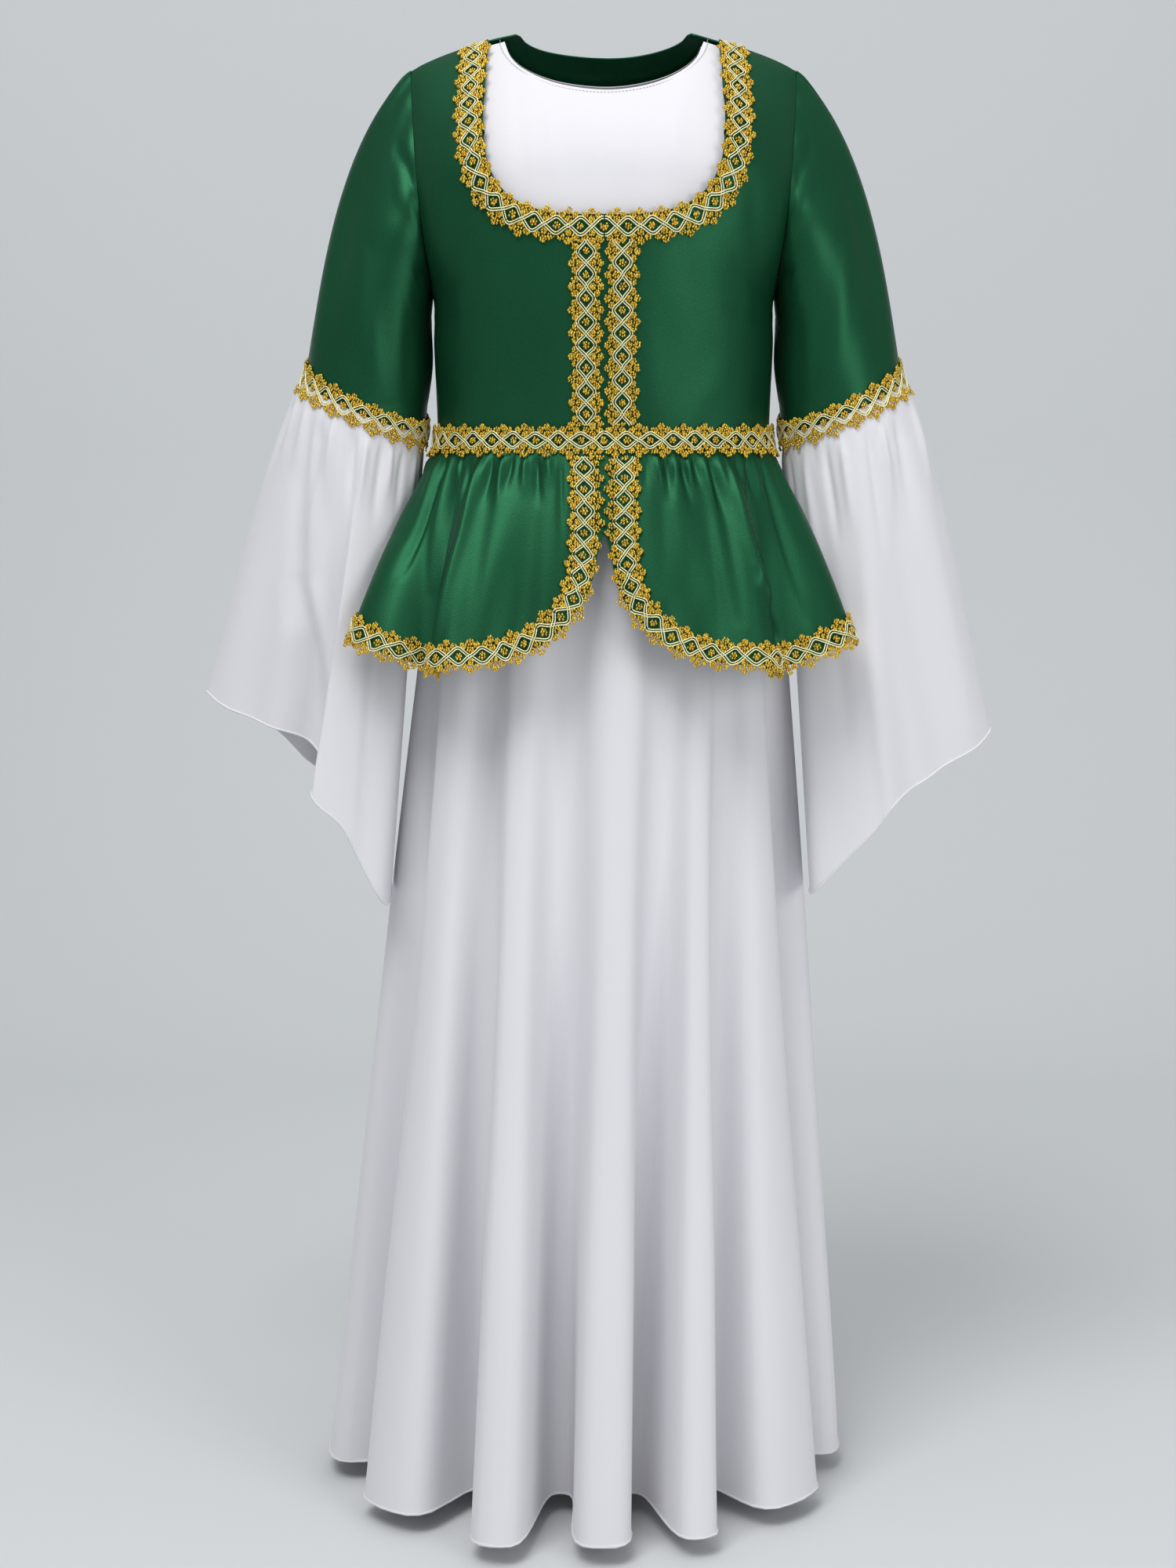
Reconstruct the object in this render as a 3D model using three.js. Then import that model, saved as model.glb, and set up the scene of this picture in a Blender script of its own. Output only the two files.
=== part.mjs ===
// A girl's renaissance costume in its worn shape: a green satin jacket with gold scalloped lace,
// white bell flounces at the cuffs and a long white dress under it.
// Millimetres. The origin is the middle of the shoulder line, +Z is up and the front faces -Y.
// The wearer's left is +X. Every piece of cloth is a thin closed wall made from a grid of points.

import * as THREE from 'three';

// ---- driving sizes ----
const SATIN = 1.2;              // wall of the jacket's cloth
const CREPE = 1.2;              // wall of the white cloth
const SEAM = 0.35;              // room left between two pieces at a seam
const TRIM_WALL = 1.2;          // wall of the lace band
const TRIM_LIFT = 1.0;          // room between the cloth and the back of the lace
const TRIM_HALF = 13.2;         // from the lace's middle to the tip of a scallop
const TRIM_NOTCH = 9.6;         // from the lace's middle to the notch between two scallops
const TRIM_INSET = 8.7;         // from the cloth's edge to the lace's middle
const SCALLOP_PITCH = 16.1;
const WAIST_SCALLOPS = 40;
const CUFF_SCALLOPS = 18;
const LACE_GAP = 0.6;           // between two bands that meet
const SHOULDER_GAP = 3;         // from the shoulder seam to the end of the neck's lace
const DRESS_INSET = 5;          // the dress lies this far inside the jacket

const SHOULDER_TIP_Z = -27;
const ARMPIT_Z = -190;
const WAIST_Z = -297;
const SKIRT_HEM_Z = -1084;
const BODY_SQUARENESS = 2.3;    // exponent of the body's rounded oval sections
const RIDGE_Z = 8;              // height of the shoulder line at the neck
const RIDGE_DROOP = 0.0017;     // how fast that line falls sideways, for each square millimetre
// How the body swells out below the shoulder: the height it takes, and the exponent of its curve.
const FRONT_SWELL = { rise: 105, power: 0.85 };
const BACK_SWELL = { rise: 90, power: 0.6 };

const DRESS_NECK = { half: 72, frontDrop: 42, backDrop: 26 };
const JACKET_BACK_NECK = { half: 62, drop: 14 };
const SQUARE_NECK = { half: 87.5, bottomZ: -138.5, turnZ: -50, topHalf: 85, squareness: 3.3 };

// The body's sections, outside of the jacket: `edge` is where a front panel ends (armhole or side),
// `reach` is where the oval itself would end, `front` and `back` are its depths.
const BODY = [
  { z: 40, edge: 143, reach: 152, front: 80, back: 68 },
  { z: -27, edge: 142.5, reach: 152, front: 80, back: 70 },
  { z: -70, edge: 139.5, reach: 152, front: 85, back: 76 },
  { z: -110, edge: 136, reach: 150, front: 90, back: 79 },
  { z: -150, edge: 132, reach: 142, front: 92, back: 79 },
  { z: -190, edge: 127, reach: 127, front: 91, back: 76 },
  { z: -230, edge: 126, reach: 126, front: 87, back: 72 },
  { z: -265, edge: 125, reach: 125, front: 84, back: 68 },
  { z: -297, edge: 124, reach: 124, front: 82, back: 67 },
  { z: -330, edge: 124, reach: 124, front: 82, back: 67 },
];

// The cuff is a slanted ring: its middle, and the ways from there to its outer, front and upper sides.
const CUFF = { middle: [177.5, -2, -269], outward: [44.5, 0, 19], forward: [0, -46, -8] };
const ARMHOLE_PULL = { mean: [85, 0, -122], swing: [73, 0, -23], forward: [0, -20, 0] };
const CUFF_PULL = { mean: [22, 0, -150], swing: [8, 0, -40] };

// The skirt's folds round the waist, from the back's middle round by the right side.
// `waist` and `hem` are the turns, in degrees, of the hollow where the fold begins, `depth` is how far
// its crest stands out from the hollows at the hem, and `growth` the exponent of its way down there.
const SKIRT_FOLDS = [
  { name: 'back 1', waist: -180, hem: -180, depth: 52, growth: 1.4 },
  { name: 'back 2', waist: -152, hem: -157, depth: 44, growth: 1.4 },
  { name: 'back right', waist: -126, hem: -134, depth: 50, growth: 1.4 },
  { name: 'right side', waist: -108, hem: -112, depth: 54, growth: 0.95 },
  { name: 'front right panel', waist: -72, hem: -66, depth: 66, growth: 1.4 },
  { name: 'front 1', waist: -40, hem: -28.5, depth: 104, growth: 1.4 },
  { name: 'front 2', waist: -10, hem: -7.5, depth: 92, growth: 1.4 },
  { name: 'front 3', waist: 22, hem: 15, depth: 90, growth: 1.4 },
  { name: 'front left panel', waist: 48, hem: 32.5, depth: 62, growth: 1.4 },
  { name: 'left side', waist: 75, hem: 74, depth: 52, growth: 0.5 },
  { name: 'back left', waist: 105, hem: 110, depth: 48, growth: 1.4 },
  { name: 'back 3', waist: 146, hem: 145, depth: 50, growth: 1.4 },
];
const SKIRT_HEM = { x: -14, y: 4, half: 172, depth: 141 };
const FOLD_COLUMNS = 6;
const FOLD_CREST = 0.55;        // the share of a fold's depth that lies outside the plain flare
const FOLD_FULLNESS = 0.7;      // 0 makes a fold's section a plain wave, 1 flattens its crest most
// How a fold's cloth crowds to its flanks, in shares of the fold: even on both, more on one,
// and how soon below the waist the crowding is whole.
const CROWDING = { both: 0.075, oneSided: 0.04, growth: 1.3 };

// The skirt's six gores, counted in folds. They meet in hollows, and on the crests at the sides.
const SKIRT_GORES = [
  { name: 'skirt_front_right', from: 3.5, to: 5 },
  { name: 'skirt_front', from: 5, to: 8 },
  { name: 'skirt_front_left', from: 8, to: 9.5 },
  { name: 'skirt_back_left', from: 9.5, to: 11 },
  { name: 'skirt_back', from: 11, to: 14 },
  { name: 'skirt_back_right', from: 14, to: 15.5 },
];
const SKIRT_HEIGHTS = [SKIRT_HEM_Z, -1000, -870, -730, -600, -490, -385];
const BODICE_COLUMNS = 20;
const BODICE_ROWS = 7;

// The peplum's hem seen from above, for the wearer's left half: each row is one crest or hollow,
// with the waist turn that hangs over it and its cloth edge's height.
const PEPLUM_HEM = [
  { waist: 0, x: 2, y: -117, z: -366 },
  { waist: 3, x: 9, y: -121, z: -402 },
  { waist: 8, x: 22, y: -126, z: -424 },
  { waist: 16, x: 42, y: -131, z: -442 },
  { waist: 24, x: 66, y: -127, z: -452 },
  { waist: 32, x: 90, y: -133, z: -456 },
  { waist: 40, x: 113, y: -133, z: -457 },
  { waist: 47, x: 124, y: -121, z: -460 },
  { waist: 53, x: 115, y: -106, z: -462 },
  { waist: 59, x: 130, y: -100, z: -460 },
  { waist: 67, x: 158, y: -105, z: -451 },
  { waist: 75, x: 185, y: -91, z: -441 },
  { waist: 80, x: 181, y: -74, z: -442 },
  { waist: 85, x: 149, y: -60, z: -448 },
  { waist: 90, x: 138, y: -30, z: -452 },
  { waist: 96, x: 141, y: 0, z: -453 },
  { waist: 102, x: 138, y: 28, z: -453 },
  { waist: 108, x: 145, y: 58, z: -452 },
  { waist: 115, x: 170, y: 86, z: -450 },
  { waist: 122, x: 160, y: 104, z: -451 },
  { waist: 130, x: 126, y: 98, z: -454 },
  { waist: 138, x: 118, y: 118, z: -455 },
  { waist: 147, x: 94, y: 131, z: -455 },
  { waist: 155, x: 70, y: 118, z: -456 },
  { waist: 163, x: 48, y: 124, z: -456 },
  { waist: 172, x: 22, y: 136, z: -456 },
  { waist: 180, x: 0, y: 128, z: -456 },
];
const PEPLUM_RING_Z = -456;     // the height at which the rows above are seen
// The corner at the wearer's right hangs farther out than the one at the left: where and how far.
const RIGHT_CORNER = { turn: 75, width: 9, reach: 4 };
const PEPLUM_BELL = 5;          // how far it curves out between waist and hem
// Gathers below a seam: how many go round, how far they stand out, and the shares of the way to
// the hem at which they begin and in which they run out.
const PEPLUM_GATHERS = { count: 35, depth: 1.7, start: 0.07, length: 0.6 };
const PLAIN_TURN = 8;           // the peplum's front edges hang without gathers this far round

// A flounce's hem, for each side: `turn` is the place on the cuff, 0 outward, 90 front, 180 by the body.
const FLOUNCE_HEM = {
  left: [
    { turn: 0, x: 297, y: 8, z: -514 },
    { turn: 30, x: 279, y: -14, z: -527 },
    { turn: 60, x: 247, y: -30, z: -545 },
    { turn: 90, x: 222, y: -46, z: -560 },
    { turn: 120, x: 203, y: -52, z: -582 },
    { turn: 145, x: 180, y: -52, z: -606 },
    { turn: 166, x: 157, y: -46, z: -632 },
    { turn: 188, x: 161, y: -6, z: -626 },
    { turn: 212, x: 172, y: 20, z: -604 },
    { turn: 240, x: 196, y: 44, z: -573 },
    { turn: 270, x: 222, y: 34, z: -551 },
    { turn: 300, x: 246, y: 54, z: -538 },
    { turn: 330, x: 276, y: 36, z: -524 },
  ],
  right: [
    { turn: 0, x: 303, y: 8, z: -486 },
    { turn: 26, x: 280, y: -10, z: -498 },
    { turn: 52, x: 250, y: -24, z: -509 },
    { turn: 74, x: 221, y: -27, z: -520 },
    { turn: 88, x: 208, y: -44, z: -538 },
    { turn: 100, x: 216, y: -63, z: -556 },
    { turn: 122, x: 194, y: -63, z: -579 },
    { turn: 146, x: 180, y: -60, z: -606 },
    { turn: 166, x: 163, y: -50, z: -640 },
    { turn: 188, x: 163, y: -8, z: -630 },
    { turn: 212, x: 176, y: 20, z: -600 },
    { turn: 240, x: 200, y: 46, z: -566 },
    { turn: 270, x: 228, y: 34, z: -542 },
    { turn: 300, x: 254, y: 50, z: -520 },
    { turn: 330, x: 284, y: 34, z: -500 },
  ],
};
const FLOUNCE_GATHERS = { count: 14, depth: 2.6, start: 0.05, length: 0.6 };
const FLOUNCE_BELL = 7;         // how far its outer side curves out
const SLEEVE_LENGTH = 175;      // both measured down the middle of the piece
const FLOUNCE_LENGTH = 270;
const SLEEVE_END = 0.997;       // the share of the sleeve at its end, just short of the cuff seam

// ---- small helpers ----
const radians = THREE.MathUtils.degToRad;
const clamp = THREE.MathUtils.clamp;
const lerp = THREE.MathUtils.lerp;
const vec = (x, y, z) => new THREE.Vector3(x, y, z);
const signedPower = (value, power) => Math.sign(value) * Math.abs(value) ** power;

// A smooth curve through a table's rows: every other column at the given value of `key`.
// With a `period` the table is a ring.
function readTable(table, key, value, period = 0) {
  const rows = period
    ? [-1, 0, 1].flatMap((lap) => table.map((row) => ({ ...row, [key]: row[key] + lap * period })))
    : [...table];
  rows.sort((one, other) => one[key] - other[key]);
  const at = clamp(value, rows[0][key], rows.at(-1)[key]);
  let i = rows.findIndex((row) => row[key] >= at);
  i = clamp(i - 1, 0, rows.length - 2);
  const [before, from, to, after] = [rows[Math.max(i - 1, 0)], rows[i], rows[i + 1],
    rows[Math.min(i + 2, rows.length - 1)]];
  const span = to[key] - from[key];
  const t = (at - from[key]) / span;
  const out = {};
  for (const column of Object.keys(from)) {
    if (column === key || typeof from[column] !== 'number') continue;
    const slopeFrom = ((to[column] - before[column]) / (to[key] - before[key])) * span;
    const slopeTo = ((after[column] - from[column]) / (after[key] - from[key])) * span;
    out[column] = (2 * t ** 3 - 3 * t ** 2 + 1) * from[column] + (t ** 3 - 2 * t ** 2 + t) * slopeFrom
      + (3 * t ** 2 - 2 * t ** 3) * to[column] + (t ** 3 - t ** 2) * slopeTo;
  }
  return out;
}

const even = (count, from = 0, to = 1) =>
  Array.from({ length: count + 1 }, (_, i) => lerp(from, to, i / count));

// How far a gather stands out at a turn in radians and a share of the way to the hem.
const gatherLift = ({ count, depth, start, length }, turn, share) =>
  depth * Math.cos(count * turn) * Math.sin(Math.PI * clamp((share - start) / length, 0, 1));

// ---- closed walls from grids ----
// The grid holds rows of points on the piece's outer face. The wall goes `thickness` inward, or
// outward where that is negative. `ring` joins each row's last point to its first, `spare` columns
// at both sides only steer the wall's direction, and `room` is left free at both side edges.
function pointNormal(grid, r, c, ring) {
  const rows = grid.length;
  const columns = grid[0].length;
  const left = ring ? (c + columns - 1) % columns : Math.max(c - 1, 0);
  const right = ring ? (c + 1) % columns : Math.min(c + 1, columns - 1);
  const across = grid[r][right].clone().sub(grid[r][left]);
  const along = grid[Math.min(r + 1, rows - 1)][c].clone().sub(grid[Math.max(r - 1, 0)][c]);
  return across.cross(along).normalize();
}

function shiftGrid(grid, distance, ring = false) {
  return grid.map((row, r) => row.map((point, c) =>
    point.clone().addScaledVector(pointNormal(grid, r, c, ring), distance)));
}

function wall(grid, thickness, { ring = false, spare = 0, room = 0 } = {}) {
  const keep = (row) => row.slice(spare, row.length - spare);
  const outer = drawIn(grid.map(keep), room);
  const inner = drawIn(shiftGrid(grid, -thickness, ring).map(keep), room);
  const rows = outer.length;
  const columns = outer[0].length;
  const positions = [...outer.flat(), ...inner.flat()].flatMap((point) => point.toArray());
  const indices = [];
  const outside = (r, c) => r * columns + (c % columns);
  const inside = (r, c) => rows * columns + outside(r, c);
  const quad = (a, b, c, d) => indices.push(a, b, c, a, c, d);
  const steps = ring ? columns : columns - 1;
  for (let r = 0; r < rows - 1; r += 1) {
    for (let c = 0; c < steps; c += 1) {
      quad(outside(r, c), outside(r, c + 1), outside(r + 1, c + 1), outside(r + 1, c));
      quad(inside(r, c), inside(r + 1, c), inside(r + 1, c + 1), inside(r, c + 1));
    }
  }
  for (let c = 0; c < steps; c += 1) {
    quad(outside(0, c), inside(0, c), inside(0, c + 1), outside(0, c + 1));
    quad(outside(rows - 1, c + 1), inside(rows - 1, c + 1), inside(rows - 1, c), outside(rows - 1, c));
  }
  if (!ring) {
    for (let r = 0; r < rows - 1; r += 1) {
      quad(outside(r, 0), outside(r + 1, 0), inside(r + 1, 0), inside(r, 0));
      quad(inside(r, columns - 1), inside(r + 1, columns - 1), outside(r + 1, columns - 1),
        outside(r, columns - 1));
    }
  }
  const geometry = new THREE.BufferGeometry();
  geometry.setAttribute('position', new THREE.Float32BufferAttribute(positions, 3));
  geometry.setIndex(signedVolume(positions, indices) < 0 ? indices.reverse() : indices);
  geometry.computeVertexNormals();
  return geometry;
}

// Draws a grid's two side columns in along their rows, so that two panels stay apart at a seam.
function drawIn(grid, room) {
  if (room === 0) return grid;
  return grid.map((row) => {
    const drawn = [...row];
    for (const [edge, next] of [[0, 1], [row.length - 1, row.length - 2]]) {
      const way = row[next].clone().sub(row[edge]).normalize();
      drawn[edge] = row[edge].clone().addScaledVector(way, room);
    }
    return drawn;
  });
}

function signedVolume(positions, indices) {
  const corner = (i) => vec(...positions.slice(3 * i, 3 * i + 3));
  let volume = 0;
  for (let i = 0; i < indices.length; i += 3) {
    volume += corner(indices[i]).dot(corner(indices[i + 1]).cross(corner(indices[i + 2]))) / 6;
  }
  return volume;
}

// ---- the worn body form ----
const shoulderRidge = (x) => RIDGE_Z - RIDGE_DROOP * x * x;

function swell(x, z, isFront) {
  const { rise, power } = isFront ? FRONT_SWELL : BACK_SWELL;
  return Math.sin((Math.PI / 2) * clamp((shoulderRidge(x) - z) / rise, 0, 1)) ** power;
}

// A point at a turn round the body, in degrees: 0 in front, 90 at the wearer's left, 180 behind.
function bodyPoint(turn, z, out = 0) {
  const section = readTable(BODY, 'z', z);
  const sine = Math.sin(radians(turn));
  const cosine = Math.cos(radians(turn));
  const isFront = cosine >= 0;
  const x = (section.reach + out) * signedPower(sine, 2 / BODY_SQUARENESS);
  const depth = (isFront ? section.front : section.back) + out;
  const y = -depth * signedPower(cosine, 2 / BODY_SQUARENESS) * swell(x, z - out, isFront);
  return vec(x, y, z);
}

// The turn at which a panel ends: the side seam, or the armhole's edge above the armpit.
function edgeTurn(z) {
  const section = readTable(BODY, 'z', z);
  const share = clamp(section.edge / section.reach, 0, 1);
  return z <= ARMPIT_Z ? 90 : THREE.MathUtils.radToDeg(Math.asin(share ** (BODY_SQUARENESS / 2)));
}

function turnAt(x, z) {
  const share = clamp(x / readTable(BODY, 'z', z).reach, -1, 1);
  return THREE.MathUtils.radToDeg(Math.asin(signedPower(share, BODY_SQUARENESS / 2)));
}

const frontPoint = (x, z, out = 0) => bodyPoint(turnAt(x, z), z, out);

// ---- panels that reach the shoulder ----
const HALVINGS = 30;            // of the search for a column's top
const ROW_CROWDING = 1.15;      // crowds a panel's rows towards the shoulder

// `side` runs from -1 at one edge to 1 at the other. The column ends at the neck or shoulder seam.
function columnPoint(side, z, isBack, out) {
  const turn = side * edgeTurn(z);
  return bodyPoint(isBack ? 180 - turn : turn, z, out);
}

function columnTop(side, isBack, neck, out) {
  const limit = (x) => {
    const rim = shoulderRidge(neck.half);
    const reach = Math.min(Math.abs(x) / neck.half, 1);
    return reach < 1 ? rim - neck.drop * Math.sqrt(1 - reach * reach) : shoulderRidge(x);
  };
  let low = ARMPIT_Z;
  let high = 10;
  for (let i = 0; i < HALVINGS; i += 1) {
    const middle = (low + high) / 2;
    if (middle < limit(columnPoint(side, middle, isBack, out).x)) low = middle;
    else high = middle;
  }
  return low + out - SEAM;
}

function bodiceRows(sides, isBack, neck, out, lowZ, rowCount) {
  const tops = sides.map((side) => columnTop(side, isBack, neck, out));
  return even(rowCount).map((t) => sides.map((side, i) =>
    columnPoint(side, lerp(lowZ, tops[i], Math.sin((Math.PI / 2) * t) ** ROW_CROWDING), isBack,
      out)));
}

// ---- the dress ----
const skirtBlend = (z) => clamp((WAIST_Z - z) / (WAIST_Z - SKIRT_HEM_Z), 0, 1);

// The fold that holds a place round the waist, counted from the back's middle, and its neighbours.
function foldAt(place) {
  const count = SKIRT_FOLDS.length;
  const index = Math.floor(place) % count;
  return {
    before: SKIRT_FOLDS[(index + count - 1) % count],
    fold: SKIRT_FOLDS[index],
    next: SKIRT_FOLDS[(index + 1) % count],
    lap: index + 1 === count ? 360 : 0,
    phase: place - Math.floor(place),
  };
}

const smooth = (t) => t * t * (3 - 2 * t);

// Mixes a fold's own value, at its crest, with the mean of its and a neighbour's, at its hollows.
function acrossFold(place, column, crestShare, hollowShare) {
  const { before, fold, next, phase } = foldAt(place);
  const hollow = lerp(before[column] + fold[column], fold[column] + next[column], smooth(phase)) / 2;
  const wave = 0.5 - 0.5 * Math.cos(2 * Math.PI * phase);
  return lerp(hollowShare * hollow, crestShare * fold[column],
    lerp(wave, smooth(wave), FOLD_FULLNESS));
}

// A point of the skirt at a place round the waist and a height.
function skirtPoint(place, z) {
  const { fold, next, lap, phase } = foldAt(place);
  const blend = skirtBlend(z);
  const crowding = (CROWDING.both * Math.sin(4 * Math.PI * phase)
    - CROWDING.oneSided * Math.sin(2 * Math.PI * phase)) * Math.min(1, CROWDING.growth * blend);
  const hemTurn = radians(lerp(fold.hem, next.hem + lap, phase + crowding));
  const waist = bodyPoint(waistTurnAt(place), WAIST_Z, -DRESS_INSET);
  const hem = vec(SKIRT_HEM.x + SKIRT_HEM.half * Math.sin(hemTurn),
    SKIRT_HEM.y - SKIRT_HEM.depth * Math.cos(hemTurn), 0);
  const outward = vec(Math.sin(hemTurn) / SKIRT_HEM.half, -Math.cos(hemTurn) / SKIRT_HEM.depth, 0);
  const lift = acrossFold(place, 'depth', FOLD_CREST, FOLD_CREST - 1);
  return vec(lerp(waist.x, hem.x, blend), lerp(waist.y, hem.y, blend), z)
    .addScaledVector(outward.normalize(), lift * blend ** acrossFold(place, 'growth', 1, 1));
}

// The waist turn over a place of the skirt.
function waistTurnAt(place) {
  const { fold, next, lap, phase } = foldAt(place);
  const turn = lerp(fold.waist, next.waist + lap, phase);
  return turn + 360 * Math.floor(place / SKIRT_FOLDS.length);
}

function skirtGrid({ from, to }) {
  const step = 1 / FOLD_COLUMNS;
  const places = even(Math.round((to - from) * FOLD_COLUMNS) + 2, from - step, to + step);
  return [...SKIRT_HEIGHTS, WAIST_Z - SEAM / 2].map((z) => places.map((place) => skirtPoint(place, z)));
}

function dressBodiceGrid(isBack) {
  const reach = 1 + 2 / BODICE_COLUMNS;
  const sides = even(BODICE_COLUMNS + 2, isBack ? reach : -reach, isBack ? -reach : reach);
  const neck = { half: DRESS_NECK.half, drop: isBack ? DRESS_NECK.backDrop : DRESS_NECK.frontDrop };
  return bodiceRows(sides, isBack, neck, -DRESS_INSET, WAIST_Z + SEAM / 2, BODICE_ROWS);
}

// ---- the jacket's body ----
// Evenly spaced points along a polyline of [x, z] corners.
function alongLine(points, count) {
  const lengths = [0];
  for (let i = 1; i < points.length; i += 1) {
    lengths.push(lengths[i - 1] + Math.hypot(points[i][0] - points[i - 1][0],
      points[i][1] - points[i - 1][1]));
  }
  return even(count, 0, lengths.at(-1)).map((at) => {
    const i = clamp(lengths.findIndex((length) => length >= at - 1e-9), 1, points.length - 1);
    const t = (at - lengths[i - 1]) / (lengths[i] - lengths[i - 1]);
    return [lerp(points[i - 1][0], points[i][0], t), lerp(points[i - 1][1], points[i][1], t)];
  });
}

// The low square neckline as [x, z] points from the centre front to the shoulder, `inset` mm in.
function squareNeckline(inset = 0) {
  const { half, bottomZ, turnZ, topHalf, squareness } = SQUARE_NECK;
  const curve = even(EDGE_STEPS, 0, Math.PI / 2).map((angle) => [
    (half + inset) * Math.sin(angle) ** (2 / squareness),
    turnZ - (turnZ - bottomZ + inset) * Math.cos(angle) ** (2 / squareness),
  ]);
  const top = topHalf + inset;
  return [...curve, [top, shoulderRidge(top) - SEAM]];
}

const FRONT_COLUMNS = 13;
const FRONT_ROWS = 9;
const BACK_COLUMNS = 16;
const BACK_ROWS = 8;
const EDGE_STEPS = 24;          // how finely a panel's edges are followed

const CENTRE_TURN = 0.1;        // the turn at which a front's straight edge stands at the waist

// One jacket front: a patch stretched between its four edges, in turns and heights.
function jacketFrontGrid() {
  const toTurn = ([x, z]) => [turnAt(x, z), z];
  const edge = even(EDGE_STEPS, WAIST_Z, SHOULDER_TIP_Z).map((z) => [bodyPoint(edgeTurn(z), z).x, z]);
  const shoulderHalf = readTable(BODY, 'z', SHOULDER_TIP_Z).edge;
  const shoulder = even(EDGE_STEPS / 4, SQUARE_NECK.topHalf, shoulderHalf).slice(1)
    .map((x) => [x, shoulderRidge(x) - SEAM]);
  const bottom = even(FRONT_COLUMNS).map((share) => [lerp(CENTRE_TURN, 90, share), WAIST_Z]);
  const top = alongLine([[SEAM / 2, SQUARE_NECK.bottomZ], ...squareNeckline().slice(1), ...shoulder],
    FRONT_COLUMNS).map(toTurn);
  const inner = alongLine([[SEAM / 2, WAIST_Z], [SEAM / 2, SQUARE_NECK.bottomZ]], FRONT_ROWS).map(toTurn);
  const outer = alongLine(edge, FRONT_ROWS).map(([, z]) => [edgeTurn(z), z]);
  return even(FRONT_ROWS).map((v, r) => even(FRONT_COLUMNS).map((u, c) => {
    const blend = [0, 1].map((k) => (1 - v) * bottom[c][k] + v * top[c][k]
      + (1 - u) * inner[r][k] + u * outer[r][k]
      - (1 - u) * (1 - v) * bottom[0][k] - u * (1 - v) * bottom.at(-1)[k]
      - (1 - u) * v * top[0][k] - u * v * top.at(-1)[k]);
    return bodyPoint(clamp(blend[0], 0, 90), blend[1]);
  }));
}

const jacketBackGrid = () =>
  bodiceRows(even(BACK_COLUMNS, 1, -1), true, JACKET_BACK_NECK, 0, WAIST_Z, BACK_ROWS);

// ---- sleeves and flounces, for the wearer's left arm ----
const swing = (turn, { mean, swing: amount, forward = [0, 0, 0] }) => vec(
  mean[0] + amount[0] * Math.cos(turn) + forward[0] * Math.sin(turn),
  mean[1] + amount[1] * Math.cos(turn) + forward[1] * Math.sin(turn),
  mean[2] + amount[2] * Math.cos(turn) + forward[2] * Math.sin(turn),
);

function cuffPoint(turn) {
  return vec(...CUFF.middle).addScaledVector(vec(...CUFF.outward), Math.cos(turn))
    .addScaledVector(vec(...CUFF.forward), Math.sin(turn));
}

function armholePoint(turn) {
  const z = lerp(ARMPIT_Z, SHOULDER_TIP_Z, (1 + Math.cos(turn)) / 2);
  const isBack = Math.sin(turn) < 0;
  return columnPoint(1, z, isBack, 0).add(vec(2 * SEAM, 0, 0));
}

// A point of the sleeve at a turn round the arm and a share of the way from armhole to cuff.
function sleevePoint(turn, share) {
  const [square, cube] = [share ** 2, share ** 3];
  return armholePoint(turn).multiplyScalar(2 * cube - 3 * square + 1)
    .addScaledVector(swing(turn, ARMHOLE_PULL), cube - 2 * square + share)
    .addScaledVector(cuffPoint(turn), 3 * square - 2 * cube)
    .addScaledVector(swing(turn, CUFF_PULL), cube - square);
}

// A point of the flounce at a share of the way from the cuff seam to the hem.
function flouncePoint(hem, turn, share) {
  const end = readTable(hem, 'turn', THREE.MathUtils.radToDeg(turn), 360);
  const top = cuffPoint(turn);
  const point = top.clone().lerp(vec(end.x, end.y, end.z), share);
  const outward = top.clone().sub(vec(...CUFF.middle)).setZ(0).normalize();
  const bell = FLOUNCE_BELL * Math.sin(Math.PI * Math.sqrt(share)) * (0.5 + 0.5 * Math.cos(turn));
  return point.addScaledVector(outward, bell + gatherLift(FLOUNCE_GATHERS, turn, share));
}

const SLEEVE_COLUMNS = 20;
const SLEEVE_ROWS = 7;
const FLOUNCE_COLUMNS = 3 * FLOUNCE_GATHERS.count;
const FLOUNCE_SHARES = [0.002, 0.1, 0.26, 0.48, 0.74, 1];
const turnsRound = (count) => even(count, 0, 2 * Math.PI).slice(0, -1);

const sleeveGrid = () => even(SLEEVE_ROWS)
  .map((t) => turnsRound(SLEEVE_COLUMNS).map((turn) => sleevePoint(turn, t * SLEEVE_END)));

const flounceGrid = (hem) => FLOUNCE_SHARES
  .map((share) => turnsRound(FLOUNCE_COLUMNS).map((turn) => flouncePoint(hem, turn, share)));

// ---- the peplum ----
const signedTurn = (turn) => (turn > 180 ? turn - 360 : turn);

function peplumHem(turn) {
  const row = readTable(PEPLUM_HEM, 'waist', Math.abs(signedTurn(turn)));
  if (signedTurn(turn) >= 0) return row;
  const off = (Math.abs(signedTurn(turn)) - RIGHT_CORNER.turn) / RIGHT_CORNER.width;
  return { ...row, x: -row.x - RIGHT_CORNER.reach * Math.exp(-off * off) };
}

// A point of the peplum at a waist turn and a height.
function peplumPoint(turn, z) {
  const hem = peplumHem(turn);
  const blend = (WAIST_Z - z) / (WAIST_Z - PEPLUM_RING_Z);
  const waist = bodyPoint(turn, WAIST_Z, 0);
  const outward = vec(Math.sin(radians(turn)), -Math.cos(radians(turn)), 0);
  const gather = gatherLift(PEPLUM_GATHERS, radians(turn), blend)
    * clamp(Math.abs(signedTurn(turn)) / PLAIN_TURN - 1, 0, 1);
  return vec(lerp(waist.x, hem.x, blend), lerp(waist.y, hem.y, blend), z)
    .addScaledVector(outward, gather + PEPLUM_BELL * Math.sin(Math.PI * clamp(blend, 0, 1)));
}

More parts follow.
